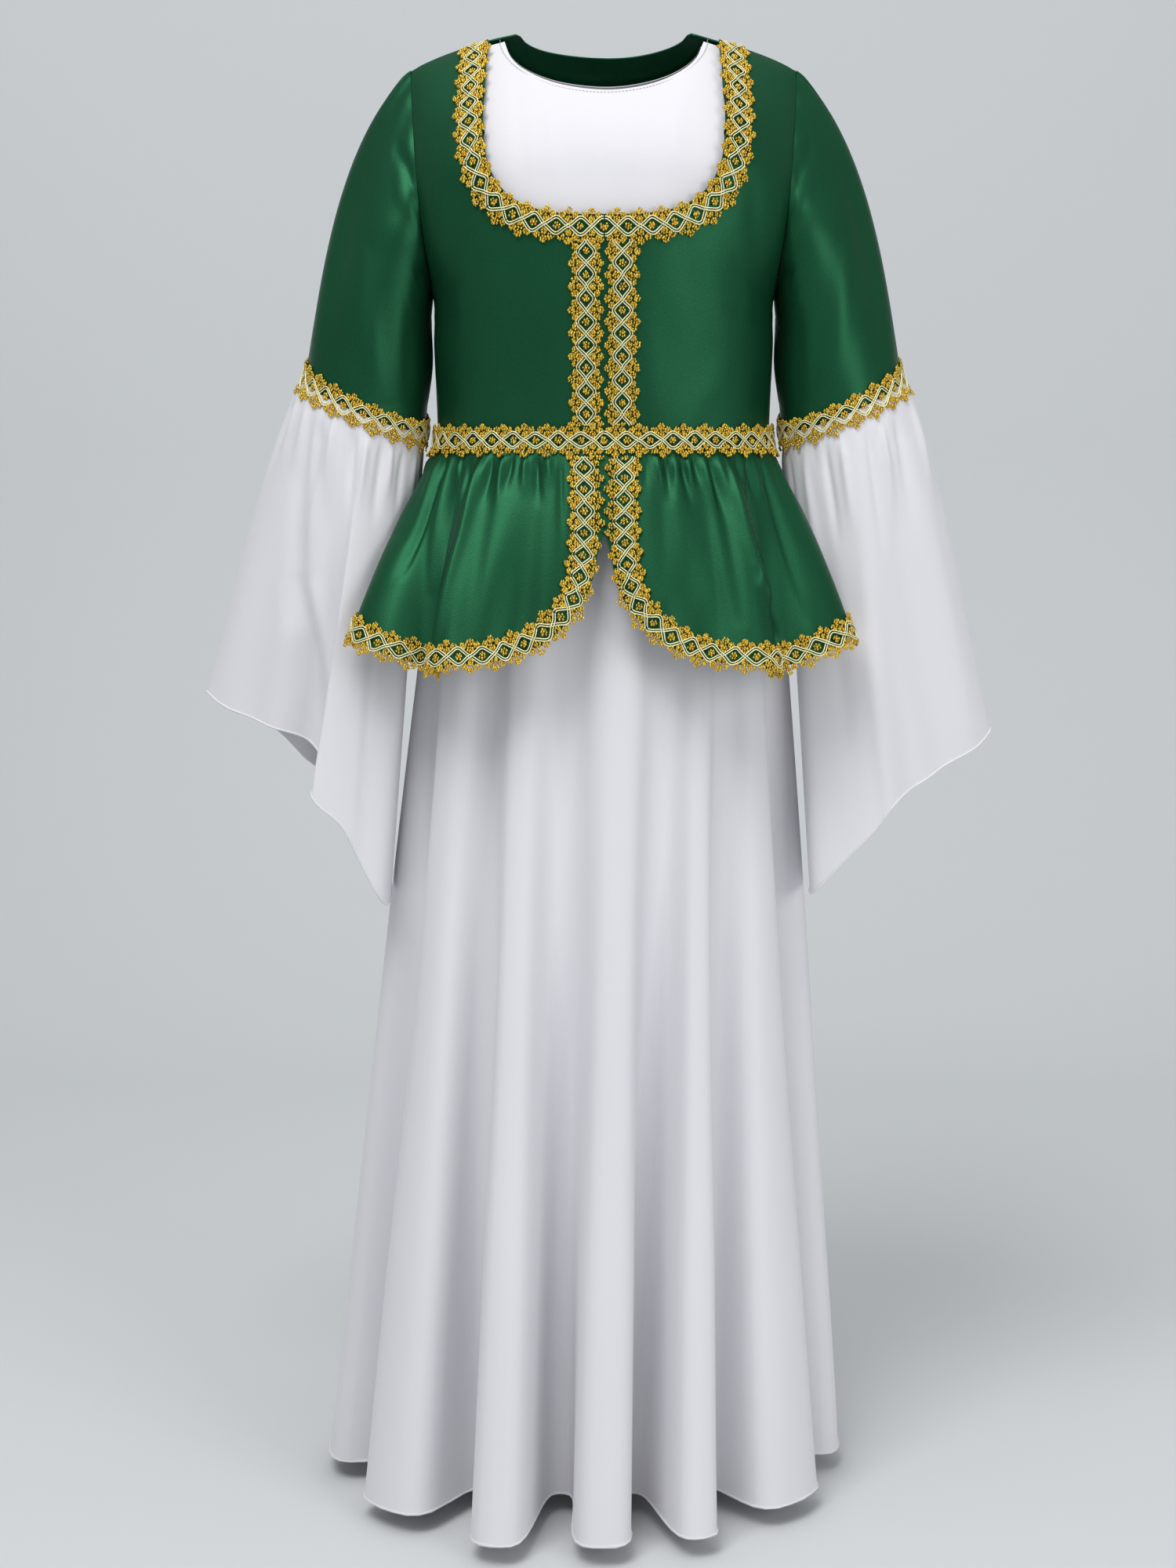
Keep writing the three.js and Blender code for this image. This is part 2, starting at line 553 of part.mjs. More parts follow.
const PEPLUM_SHARES = [1, 0.86, 0.62, 0.38, 0.18, 0.002];
const SIDE_TURN = 93;
const CORNER_END_TURN = 24.5;   // where the lace round a front's corner meets the hem's lace

// The middle of the lace down a front's edge and round its corner.
const PEPLUM_LACE_PATH = [
  { turn: 5.1, z: WAIST_Z - TRIM_HALF - 1.5 },
  { turn: 5, z: -337 },
  { turn: 4.9, z: -358 },
  { turn: 5.1, z: -372 },
  { turn: 5.6, z: -384 },
  { turn: 6.4, z: -396 },
  { turn: 7.6, z: -407 },
  { turn: 9.5, z: -415.5 },
  { turn: 12, z: -422.5 },
  { turn: 15, z: -429.3 },
  { turn: 18, z: -435.4 },
  { turn: 20.5, z: -439.4 },
  { turn: 23, z: -442.3 },
];
const PEPLUM_STEP = 2.5;        // two columns for each scallop of the hem's lace
const turnSteps = (from, to) => even(Math.round((to - from) / PEPLUM_STEP), from, to);
const PEPLUM_CORNER_TURNS = [0, 0.15, 0.8, 1.8, 3.2, 5.4];
const PEPLUM_FRONT_TURNS = [...PEPLUM_CORNER_TURNS, ...turnSteps(PLAIN_TURN, SIDE_TURN + PEPLUM_STEP)];
const PEPLUM_BACK_TURNS = turnSteps(SIDE_TURN - PEPLUM_STEP, 360 - SIDE_TURN + PEPLUM_STEP);

// Both fronts are worked out at the wearer's left: the right one's points are mirrored to there.
const peplumSides = {
  left: peplumPoint,
  right: (turn, z) => peplumPoint(-turn, z).multiply(vec(-1, 1, 1)),
};

function peplumGrid(turns, surface = peplumPoint) {
  return PEPLUM_SHARES.map((share) =>
    turns.map((turn) => surface(turn, lerp(WAIST_Z, peplumHem(turn).z, share))));
}

// ---- lace bands ----
const PATH_STEPS = 12;          // how finely a band's path is measured between two of its points

// Notches and tips take turns along a band.
const scallopHalf = (index) => (index % 2 ? TRIM_HALF : TRIM_NOTCH);

// Lays a scalloped band on a surface along a path of its two coordinates.
function bandGrid(surface, path) {
  const dense = [];
  for (let i = 0; i < path.length - 1; i += 1) {
    for (const t of even(PATH_STEPS).slice(0, -1)) {
      dense.push([lerp(path[i][0], path[i + 1][0], t), lerp(path[i][1], path[i + 1][1], t)]);
    }
  }
  dense.push(path.at(-1));
  const places = dense.map(([p, q]) => surface(p, q));
  const lengths = [0];
  for (let i = 1; i < places.length; i += 1) {
    lengths.push(lengths[i - 1] + places[i].distanceTo(places[i - 1]));
  }
  const stations = even(2 * Math.round(lengths.at(-1) / SCALLOP_PITCH), 0, lengths.at(-1));
  const rails = [[], [], []];
  stations.forEach((at, index) => {
    const i = clamp(lengths.findIndex((length) => length >= at - 1e-9), 1, lengths.length - 1);
    const t = (at - lengths[i - 1]) / (lengths[i] - lengths[i - 1]);
    const p = lerp(dense[i - 1][0], dense[i][0], t);
    const q = lerp(dense[i - 1][1], dense[i][1], t);
    const onward = places[i].clone().sub(places[i - 1]).normalize();
    const { normal, across } = surfaceFrame(surface, p, q, onward);
    const half = scallopHalf(index);
    [-half, 0, half].forEach((width, rail) => {
      const point = surface(p + across[0] * width, q + across[1] * width);
      rails[rail].push(point.addScaledVector(normal, TRIM_LIFT));
    });
  });
  return rails;
}

// The outward normal of a surface, and the change of its two coordinates for 1 mm across a path.
function surfaceFrame(surface, p, q, onward) {
  const step = 0.05;
  const alongP = surface(p + step, q).sub(surface(p - step, q)).divideScalar(2 * step);
  const alongQ = surface(p, q + step).sub(surface(p, q - step)).divideScalar(2 * step);
  const normal = alongP.clone().cross(alongQ).normalize();
  const side = normal.clone().cross(onward).normalize();
  const pp = alongP.dot(alongP);
  const pq = alongP.dot(alongQ);
  const qq = alongQ.dot(alongQ);
  const determinant = pp * qq - pq * pq;
  const [sp, sq] = [side.dot(alongP), side.dot(alongQ)];
  return { normal, across: [(sp * qq - sq * pq) / determinant, (sq * pp - sp * pq) / determinant] };
}

// A band round a seam: above it lies one surface, and below it another.
function seamBandGrid(above, middle, below, turns, isLoop) {
  const rails = [[], [], []];
  turns.forEach((turn, index) => {
    const half = scallopHalf(index);
    rails[0].push(below(turn, half));
    rails[1].push(middle(turn));
    rails[2].push(above(turn, half));
  });
  return shiftGrid(rails, TRIM_LIFT, isLoop);
}

// The lace round the neckline, from the centre front to just below the shoulder seam.
function neckTrim() {
  const [first, ...path] = squareNeckline(TRIM_INSET);
  const [topX, topZ] = path.pop();
  return bandGrid(frontPoint, [[LACE_GAP, first[1]], ...path, [topX, topZ - SHOULDER_GAP]]);
}

function frontTrim() {
  const middle = TRIM_HALF + SEAM;
  const top = SQUARE_NECK.bottomZ - TRIM_INSET - TRIM_HALF - SEAM - LACE_GAP;
  return bandGrid(frontPoint, [[middle, top], [middle, WAIST_Z + TRIM_HALF + LACE_GAP]]);
}

function waistTrim() {
  const turns = even(2 * WAIST_SCALLOPS, CENTRE_TURN, 360 - CENTRE_TURN);
  return seamBandGrid((turn, half) => bodyPoint(turn, WAIST_Z + half),
    (turn) => bodyPoint(turn, WAIST_Z, SEAM),
    (turn, half) => peplumPoint(turn, WAIST_Z - half), turns, false);
}

function cuffTrim(hem) {
  return seamBandGrid((turn, half) => sleevePoint(turn, 1 - half / SLEEVE_LENGTH), cuffPoint,
    (turn, half) => flouncePoint(hem, turn, half / FLOUNCE_LENGTH),
    turnsRound(2 * CUFF_SCALLOPS).reverse(), true);
}

// The lace along the peplum's hem, on the panel's own columns from `from` to `to`.
function hemBandRails(grid, from, to) {
  const rails = [[], [], []];
  for (let c = from; c <= to; c += 1) {
    const edge = grid[0][c];
    const upward = grid[1][c].clone().sub(edge).normalize();
    const lifted = edge.clone().addScaledVector(pointNormal(grid, 0, c, false), TRIM_LIFT);
    const half = scallopHalf(c);
    [-half, 0, half].forEach((width, rail) => {
      rails[rail].push(lifted.clone().addScaledVector(upward, TRIM_INSET + width));
    });
  }
  return rails;
}

// The lace down a peplum front, round its corner and along the hem.
function peplumFrontTrim(surface) {
  const grid = peplumGrid(PEPLUM_FRONT_TURNS, surface);
  const first = PEPLUM_FRONT_TURNS.findIndex((turn) => turn > CORNER_END_TURN);
  const down = bandGrid(surface, PEPLUM_LACE_PATH.map(({ turn, z }) => [turn, z]));
  const along = hemBandRails(grid, first, grid[0].length - 2);
  return down.map((rail, i) => [...rail, ...along[i]]);
}

function peplumBackTrim() {
  const grid = peplumGrid(PEPLUM_BACK_TURNS);
  return hemBandRails(grid, 1, grid[0].length - 2);
}

// ---- materials and assembly ----
const satin = new THREE.MeshStandardMaterial({ color: 0x0f4a30, roughness: 0.38, metalness: 0 });
const crepe = new THREE.MeshStandardMaterial({ color: 0xe3e2ea, roughness: 0.85, metalness: 0 });
const lace = new THREE.MeshStandardMaterial({ color: 0xc08e2c, roughness: 0.42, metalness: 0.7 });

const group = new THREE.Group();

function add(name, grid, thickness, material, edges = {}) {
  const mesh = new THREE.Mesh(wall(grid, thickness, edges), material);
  mesh.name = name;
  group.add(mesh);
}

const mirror = (grid) => grid.map((row) => row.map((point) => vec(-point.x, point.y, point.z)).reverse());

const SEAMED = { spare: 1, room: SEAM / 2 };
const LOOP = { ring: true };

add('dress_front', dressBodiceGrid(false), CREPE, crepe, SEAMED);
add('dress_back', dressBodiceGrid(true), CREPE, crepe, SEAMED);
for (const gore of SKIRT_GORES) add(gore.name, skirtGrid(gore), CREPE, crepe, SEAMED);
add('jacket_back', jacketBackGrid(), SATIN, satin, { room: SEAM });
add('peplum_back', peplumGrid(PEPLUM_BACK_TURNS), SATIN, satin, SEAMED);
add('trim_waist', waistTrim(), -TRIM_WALL, lace);
add('trim_peplum_back', peplumBackTrim(), -TRIM_WALL, lace, { room: SEAM });

for (const [side, turned] of [['left', (grid) => grid], ['right', mirror]]) {
  const hem = FLOUNCE_HEM[side];
  add(`jacket_front_${side}`, turned(jacketFrontGrid()), SATIN, satin);
  add(`sleeve_${side}`, turned(sleeveGrid()), SATIN, satin, LOOP);
  add(`flounce_${side}`, turned(flounceGrid(hem)), CREPE, crepe, LOOP);
  const peplum = turned(peplumGrid(PEPLUM_FRONT_TURNS, peplumSides[side]));
  add(`peplum_front_${side}`, peplum, SATIN, satin, SEAMED);
  add(`trim_neck_${side}`, turned(neckTrim()), -TRIM_WALL, lace);
  add(`trim_front_${side}`, turned(frontTrim()), -TRIM_WALL, lace);
  add(`trim_cuff_${side}`, turned(cuffTrim(hem)), -TRIM_WALL, lace, LOOP);
  add(`trim_peplum_${side}`, turned(peplumFrontTrim(peplumSides[side])), -TRIM_WALL, lace, { room: SEAM });
}

export default group;
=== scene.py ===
"""The looks of a girl's renaissance costume.

A green satin jacket with gold gimp lace and white bell flounces, over a long white dress. Each piece of
cloth is a thin shell that follows the same surface as its solid, with the gathers and creases added, and
the lace is made of cords and small knots. Lengths in the tables are millimetres, with the front facing -Y.
"""

import math

import bpy
import numpy as np
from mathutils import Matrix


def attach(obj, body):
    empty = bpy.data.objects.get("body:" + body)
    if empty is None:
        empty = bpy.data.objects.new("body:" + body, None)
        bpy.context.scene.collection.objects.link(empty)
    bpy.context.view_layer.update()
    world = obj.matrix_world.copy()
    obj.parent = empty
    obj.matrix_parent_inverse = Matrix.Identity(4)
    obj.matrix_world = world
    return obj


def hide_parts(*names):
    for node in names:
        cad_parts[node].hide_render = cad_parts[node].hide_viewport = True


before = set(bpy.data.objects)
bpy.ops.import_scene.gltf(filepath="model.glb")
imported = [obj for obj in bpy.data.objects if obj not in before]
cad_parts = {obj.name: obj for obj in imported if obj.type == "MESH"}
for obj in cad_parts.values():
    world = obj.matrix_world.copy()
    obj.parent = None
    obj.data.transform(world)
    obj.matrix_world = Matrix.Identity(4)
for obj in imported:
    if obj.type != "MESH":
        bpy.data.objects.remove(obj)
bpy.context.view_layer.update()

MM = 0.001

# ---- driving sizes, the same as the solids' ----
CLOTH = 1.1  # thickness of the shells
SEAM = 0.35  # room at each seam
DRESS_INSET = 5  # the dress lies this far inside the jacket
SHOULDER_TIP_Z = -27
ARMPIT_Z = -190
WAIST_Z = -297
SKIRT_HEM_Z = -1084
BODY_SQUARENESS = 2.3
FRONT_RISE, BACK_RISE = 105, 90  # how far below the shoulder ridge the chest and back are full
FRONT_SWELL, BACK_SWELL = 0.85, 0.6  # the powers by which they fill out
RIDGE_Z, RIDGE_DROOP = 8, 0.0017  # the shoulders' top line: its middle's height, and its fall
DRESS_NECK = {"half": 72, "front": 42, "back": 26}
JACKET_NECK = {"half": 62, "back": 14}
NECK_HALF, NECK_BOTTOM_Z, NECK_TURN_Z = 87.5, -138.5, -50
NECK_TOP_HALF, NECK_SQUARENESS = 85, 3.3
SHOULDER_HALF = 142.5

# Sections of the body: height, where a front panel ends, where the oval would end, front and back depth.
BODY = np.array([
    [-330, 124, 124, 82, 67],
    [-297, 124, 124, 82, 67],
    [-265, 125, 125, 84, 68],
    [-230, 126, 126, 87, 72],
    [-190, 127, 127, 91, 76],
    [-150, 132, 142, 92, 79],
    [-110, 136, 150, 90, 79],
    [-70, 139.5, 152, 85, 76],
    [-27, 142.5, 152, 80, 70],
    [40, 143, 152, 80, 68],
], float)

# Skirt folds: the waist turn and hem turn of the hollow where each begins, its depth at the hem, and
# the exponent of its growth on the way down there.
SKIRT_FOLDS = np.array([
    [-180, -180, 52, 1.4],  # back 1
    [-152, -157, 44, 1.4],  # back 2
    [-126, -134, 50, 1.4],  # back right
    [-108, -112, 54, 0.95],  # right side
    [-72, -66, 66, 1.4],  # front right panel
    [-40, -28.5, 104, 1.4],  # front 1
    [-10, -7.5, 92, 1.4],  # front 2
    [22, 15, 90, 1.4],  # front 3
    [48, 32.5, 62, 1.4],  # front left panel
    [75, 74, 52, 0.5],  # left side
    [105, 110, 48, 1.4],  # back left
    [146, 145, 50, 1.4],  # back 3
], float)
SKIRT_CENTRE = (-14, 4)
SKIRT_HALF, SKIRT_DEPTH = 172, 141
FOLD_GIRTH = 70  # millimetres of cloth in a fold, about half way down
FOLD_FULLNESS = 0.7  # how broad the crests are, from 0 to 1
FOLD_CREST = 0.55  # the share of a fold's depth that lies outside the plain flare
CROWDING_BOTH, CROWDING_ONE_SIDED, CROWDING_GROWTH = 0.075, 0.04, 1.3  # a fold's sides leaning together

# The peplum's hem: waist turn, then x, y and height of its cloth edge.
PEPLUM_HEM = np.array([
    [0, 2, -117, -366], [3, 9, -121, -402], [8, 22, -126, -424], [16, 42, -131, -442],
    [24, 66, -127, -452], [32, 90, -133, -456], [40, 113, -133, -457], [47, 124, -121, -460],
    [53, 115, -106, -462], [59, 130, -100, -460], [67, 158, -105, -451], [75, 185, -91, -441],
    [80, 181, -74, -442], [85, 149, -60, -448], [90, 138, -30, -452], [96, 141, 0, -453],
    [102, 138, 28, -453], [108, 145, 58, -452], [115, 170, 86, -450], [122, 160, 104, -451],
    [130, 126, 98, -454], [138, 118, 118, -455], [147, 94, 131, -455], [155, 70, 118, -456],
    [163, 48, 124, -456], [172, 22, 136, -456], [180, 0, 128, -456],
], float)
PEPLUM_RING_Z = -456
RIGHT_CORNER = (75, 9, 4)  # the wearer's right corner hangs farther out: turn, width in degrees, reach
PEPLUM_BELL = 5

# A flounce's hem: the turn on the cuff (0 outward, 90 front, 180 by the body), then x, y and height.
FLOUNCE_HEM = {
    "left": np.array([
        [0, 297, 8, -514], [30, 279, -14, -527], [60, 247, -30, -545], [90, 222, -46, -560],
        [120, 203, -52, -582], [145, 180, -52, -606], [166, 157, -46, -632], [188, 161, -6, -626],
        [212, 172, 20, -604], [240, 196, 44, -573], [270, 222, 34, -551], [300, 246, 54, -538],
        [330, 276, 36, -524],
    ], float),
    "right": np.array([
        [0, 303, 8, -486], [26, 280, -10, -498], [52, 250, -24, -509], [74, 221, -27, -520],
        [88, 208, -44, -538], [100, 216, -63, -556], [122, 194, -63, -579], [146, 180, -60, -606],
        [166, 163, -50, -640], [188, 163, -8, -630], [212, 176, 20, -600], [240, 200, 46, -566],
        [270, 228, 34, -542], [300, 254, 50, -520], [330, 284, 34, -500],
    ], float),
}
FLOUNCE_BELL = 7
GATHERS_START = 9  # below a gathered seam, hidden by the lace
CUFF_MIDDLE = np.array([177.5, -2, -269])
CUFF_OUTWARD = np.array([44.5, 0, 19])
CUFF_FORWARD = np.array([0.0, -46, -8])
ARMHOLE_PULL = np.array([[85.0, 0, -122], [73, 0, -23], [0, -20, 0]])
CUFF_PULL = np.array([[22.0, 0, -150], [8, 0, -40], [0, 0, 0]])

SEAM_GROOVE = 0.9  # how far the cloth rolls in beside a seam
SEAM_WIDTH = 2.4
ARMHOLE_LAP = 0.5  # the sleeve's edge lies this far over the jacket's, which rolls in under it
SLEEVE_GROOVE = 0.3

# Gimp lace
PITCH = 16.1  # one lozenge and one scallop
BAND_HALF = 13.2
BAND_INSET = 8.7  # from the cloth's edge to the lace's middle


# ---- helpers ----
def signed_power(value, power):
    return np.sign(value) * np.abs(value) ** power


def hermite(t, start, start_slope, end, end_slope):
    """A smooth curve from start to end as t goes from 0 to 1, with these slopes at its ends."""
    return ((2 * t**3 - 3 * t**2 + 1) * start + (t**3 - 2 * t**2 + t) * start_slope
            + (3 * t**2 - 2 * t**3) * end + (t**3 - t**2) * end_slope)


def read_table(table, at, period=0):
    """A smooth curve through a table's rows, whose first column is the key. With a period it is a ring."""
    if period:
        table = np.vstack([table + np.array([lap * period, *[0] * (table.shape[1] - 1)])
                           for lap in (-1, 0, 1)])
    keys, values = table[:, 0], table[:, 1:]
    at = np.clip(np.asarray(at, float), keys[0], keys[-1])
    i = np.clip(np.searchsorted(keys, at) - 1, 0, len(keys) - 2)
    before, after = np.maximum(i - 1, 0), np.minimum(i + 2, len(keys) - 1)
    span = (keys[i + 1] - keys[i])[..., None]
    t = (at - keys[i])[..., None] / span
    slope_from = (values[i + 1] - values[before]) / (keys[i + 1] - keys[before])[..., None] * span
    slope_to = (values[after] - values[i]) / (keys[after] - keys[i])[..., None] * span
    return hermite(t, values[i], slope_from, values[i + 1], slope_to)


def bump(value, middle, width):
    """A soft hill of height 1 round a middle."""
    return np.exp(-(((value - middle) / width) ** 2))


def ramp(value, start, end):
    """0 before start and 1 after end, with a smooth rise between."""
    t = np.clip((value - start) / (end - start), 0, 1)
    return t * t * (3 - 2 * t)


CREASE_RUN_OUT = 0.08  # a crease runs on past each end, as a share of its length
CREASE_FADE = 0.6  # below 1, a crease keeps its depth along most of its length


def add_creases(p, q, rows):
    """Sums soft ridges (or troughs, where depth is negative) along lines from (p0, q0) to (p1, q1)."""
    total = np.zeros(np.broadcast(p, q).shape)
    for p0, q0, p1, q1, width, depth in rows:
        dp, dq = p1 - p0, q1 - q0
        length = math.hypot(dp, dq)
        along = ((p - p0) * dp + (q - q0) * dq) / length
        off = ((p - p0) * dq - (q - q0) * dp) / length
        beyond = np.maximum(np.maximum(-along, along - length), 0)
        share = np.clip((along / length + CREASE_RUN_OUT) / (1 + 2 * CREASE_RUN_OUT), 0, 1)
        fade = np.sin(np.pi * share) ** CREASE_FADE
        total += depth * bump(off, 0, width) * fade * (beyond < CREASE_RUN_OUT * length)
    return total


# Unevenness of each cloth: how much its heights count, then seed, wave length and depth.
RIPPLES = {
    "skirt": (0.25, 3, 90, 0.8),
    "bodice": (0.35, 5, 45, 0.35),
    "jacket front": (0.6, 11, 60, 0.45),
    "jacket back": (0.6, 12, 60, 0.5),
    "sleeve": (0.5, 21, 55, 0.5),
    "peplum": (0.5, 46, 60, 0.5),
}
RIPPLE_WAVES = 7


def ripple(cloth, p, q):
    """A few long crossing waves with fixed random ways."""
    height_share, seed, scale, amount = RIPPLES[cloth]
    rng = np.random.default_rng(seed)
    q = q * height_share
    total = np.zeros(np.broadcast(p, q).shape)
    for _ in range(RIPPLE_WAVES):
        angle = rng.uniform(0, 2 * math.pi)
        wave = scale * rng.uniform(0.7, 1.6)
        phase = rng.uniform(0, 2 * math.pi)
        total += np.sin((p * math.cos(angle) + q * math.sin(angle)) * 2 * math.pi / wave + phase)
    return amount * total / math.sqrt(RIPPLE_WAVES)


GATHER_SET_IN = 0.25  # shares of its length: a gather reaches its depth here
GATHER_HOLD = 0.35  # and begins to fade here
GATHER_START_WIDTH, GATHER_SPREAD = 0.8, 0.7


def add_gathers(turn, drop, rows, scale):
    """Short folds that run down from a gathered seam and fade out. Each row has the turn where the fold
    starts, its length, width and depth, and its lean in degrees over its length."""
    total = np.zeros(np.broadcast(turn, drop).shape)
    for start, length, width, depth, lean in rows:
        share = np.clip(drop / length, 0, 1)
        off = ((turn - start - lean * share + 180) % 360 - 180) * scale
        fade = ramp(share, 0, GATHER_SET_IN) * (1 - ramp(share, GATHER_HOLD, 1))
        total += depth * bump(off, 0, width * (GATHER_START_WIDTH + GATHER_SPREAD * share)) * fade
    return total


GATHER_SHIFT = (-0.38, 0.38)  # unevenness of the gathers' places, in their own spacing
GATHER_LEAN = (-1.5, 1.5)  # degrees


def random_gathers(count, seed, length, depth, width=(1.6, 3.2)):
    """Rows for add_gathers, spread unevenly round a ring, with ridges and hollows in turns."""
    rng = np.random.default_rng(seed)
    starts = (np.arange(count) + rng.uniform(*GATHER_SHIFT, count)) * 360 / count - 180
    return [[start, rng.uniform(*length), rng.uniform(*width), (-1) ** k * rng.uniform(*depth),
             rng.uniform(*GATHER_LEAN)] for k, start in enumerate(starts)]


def lengths_along(points):
    return np.concatenate([[0], np.cumsum(np.linalg.norm(np.diff(points, axis=0), axis=1))])


def walk(points, lengths, at):
    """Points at some lengths along a line."""
    return np.stack([np.interp(at, lengths, column) for column in points.T], -1)


def grid_normals(grid, ring=False):
    if ring:
        across = np.roll(grid, -1, 1) - np.roll(grid, 1, 1)
    else:
        across = np.gradient(grid, axis=1)
    along = np.gradient(grid, axis=0)
    normals = np.cross(across, along)
    return normals / np.maximum(np.linalg.norm(normals, axis=2, keepdims=True), 1e-9)


# ---- the worn body form ----
def shoulder_ridge(x):
    return RIDGE_Z - RIDGE_DROOP * x * x


def body_point(turn, z, out=0.0):
    """A point round the body: turn 0 in front, 90 at the wearer's left, 180 behind."""
    turn, z = np.broadcast_arrays(np.asarray(turn, float), np.asarray(z, float))
    _, reach, front, back = np.moveaxis(read_table(BODY, z), -1, 0)
    sine, cosine = np.sin(np.radians(turn)), np.cos(np.radians(turn))
    is_front = cosine >= 0
    x = (reach + out) * signed_power(sine, 2 / BODY_SQUARENESS)
    rise = np.where(is_front, FRONT_RISE, BACK_RISE)
    below = np.clip((shoulder_ridge(x) - (z - out)) / rise, 0, 1)
    swell = np.sin(np.pi / 2 * below) ** np.where(is_front, FRONT_SWELL, BACK_SWELL)
    depth = np.where(is_front, front, back) + out
    y = -depth * signed_power(cosine, 2 / BODY_SQUARENESS) * swell
    return np.stack([x, y, z], -1)


def edge_turn(z):
    section = read_table(BODY, z)
    share = np.clip(section[..., 0] / section[..., 1], 0, 1)
    return np.where(z <= ARMPIT_Z, 90, np.degrees(np.arcsin(share ** (BODY_SQUARENESS / 2))))


def turn_at(x, z):
    share = np.clip(x / read_table(BODY, z)[..., 1], -1, 1)
    return np.degrees(np.arcsin(signed_power(share, BODY_SQUARENESS / 2)))


def front_point(x, z):
    return body_point(turn_at(x, z), z)


def column_point(side, z, is_back, out):
    turn = side * edge_turn(z)
    return body_point(180 - turn if is_back else turn, z, out)


ABOVE_SHOULDER_Z = 10
HALVINGS = 30  # the search for a height is halved this often


def column_top(side, is_back, half, drop, out):
    """The height at which a column of a panel meets the neck edge or the shoulder seam."""
    low = np.full_like(side, ARMPIT_Z, dtype=float)
    high = np.full_like(side, ABOVE_SHOULDER_Z, dtype=float)
    for _ in range(HALVINGS):
        middle = (low + high) / 2
        x = column_point(side, middle, is_back, out)[..., 0]
        reach = np.minimum(np.abs(x) / half, 1)
        limit = np.where(reach < 1, shoulder_ridge(half) - drop * np.sqrt(1 - reach**2), shoulder_ridge(x))
        fits = middle < limit
        low, high = np.where(fits, middle, low), np.where(fits, high, middle)
    return low + out - SEAM


ROW_CROWDING = 1.15  # rows lie closer together towards the neck and shoulders


def bodice_grid(sides, is_back, half, drop, out, low_z, rows):
    tops = column_top(sides, is_back, half, drop, out)
    t = np.sin(np.pi / 2 * np.linspace(0, 1, rows)[:, None]) ** ROW_CROWDING
    return column_point(sides[None, :] + 0 * t, low_z + (tops - low_z) * t, is_back, out)


# ---- the dress ----
def waist_turn(place):
    count = len(SKIRT_FOLDS)
    index = np.floor(place).astype(int)
    waists = lambda i: SKIRT_FOLDS[i % count, 0] + 360 * (i // count)
    return waists(index) + (waists(index + 1) - waists(index)) * (place - index)


def skirt_point(place, z):
    """A point of the skirt: `place` counts the folds round the waist, with its fraction in the fold."""
    place, z = np.broadcast_arrays(np.asarray(place, float), np.asarray(z, float))
    count = len(SKIRT_FOLDS)
    index = np.floor(place).astype(int) % count
    phase = place - np.floor(place)
    before, here, after = (SKIRT_FOLDS[(index + step) % count] for step in (-1, 0, 1))
    next_hem = after[..., 1] + np.where(index + 1 == count, 360, 0)
    blend = np.clip((WAIST_Z - z) / (WAIST_Z - SKIRT_HEM_Z), 0, 1)
    crowding = CROWDING_BOTH * np.sin(4 * np.pi * phase) - CROWDING_ONE_SIDED * np.sin(2 * np.pi * phase)
    crowding = crowding * np.minimum(1, CROWDING_GROWTH * blend)
    hem_turn = np.radians(here[..., 1] + (next_hem - here[..., 1]) * (phase + crowding))
    wave = 0.5 - 0.5 * np.cos(2 * np.pi * phase)
    wave += FOLD_FULLNESS * (ramp(wave, 0, 1) - wave)

    def across(column, crest_share, hollow_share):
        """A column's value, from the hollow shared with the fold before to the one shared with the next."""
        earlier, own, later = (fold[..., column] for fold in (before, here, after))
        hollow = (earlier + own + (later - earlier) * ramp(phase, 0, 1)) / 2 * hollow_share
        return hollow + (crest_share * own - hollow) * wave

    waist = body_point(waist_turn(place), WAIST_Z, -DRESS_INSET)
    hem_x = SKIRT_CENTRE[0] + SKIRT_HALF * np.sin(hem_turn)
    hem_y = SKIRT_CENTRE[1] - SKIRT_DEPTH * np.cos(hem_turn)
    way = np.stack([np.sin(hem_turn) / SKIRT_HALF, -np.cos(hem_turn) / SKIRT_DEPTH], -1)
    way = way / np.linalg.norm(way, axis=-1, keepdims=True)
    lift = across(2, FOLD_CREST, FOLD_CREST - 1) * blend ** across(3, 1, 1)
    lift += ripple("skirt", place * FOLD_GIRTH, z) * blend
    x = waist[..., 0] + (hem_x - waist[..., 0]) * blend + way[..., 0] * lift
    y = waist[..., 1] + (hem_y - waist[..., 1]) * blend + way[..., 1] * lift
    return np.stack([x, y, z], -1)


# The side seams, as places round the waist counted in folds
FRONT_START, BACK_START = 3.5, 9.5
HALF_FOLDS = 6
BODICE_RIPPLE = (-330, -180)  # the bodice's unevenness fades in between these heights


def dress_grid(is_back, per_fold=22, skirt_rows=86, bodice_rows=46):
    start = BACK_START if is_back else FRONT_START
    places = np.linspace(start, start + HALF_FOLDS, HALF_FOLDS * per_fold + 1)
    turns = waist_turn(places)
    sides = (180 - turns) / 90 if is_back else turns / 90
    heights = np.linspace(SKIRT_HEM_Z, WAIST_Z, skirt_rows)[:, None]
    skirt = skirt_point(places[None, :], heights)
    drop = DRESS_NECK["back" if is_back else "front"]
    bodice = bodice_grid(sides, is_back, DRESS_NECK["half"], drop, -DRESS_INSET, WAIST_Z, bodice_rows)
    grid = np.vstack([skirt, bodice[1:]])
    x, z = grid[..., 0], grid[..., 2]
    lift = add_creases(x, z, [] if is_back else FRONT_DRESS_CREASES)
    lift += ripple("bodice", x, z) * ramp(z, *BODICE_RIPPLE)
    return grid + grid_normals(grid) * lift[..., None]


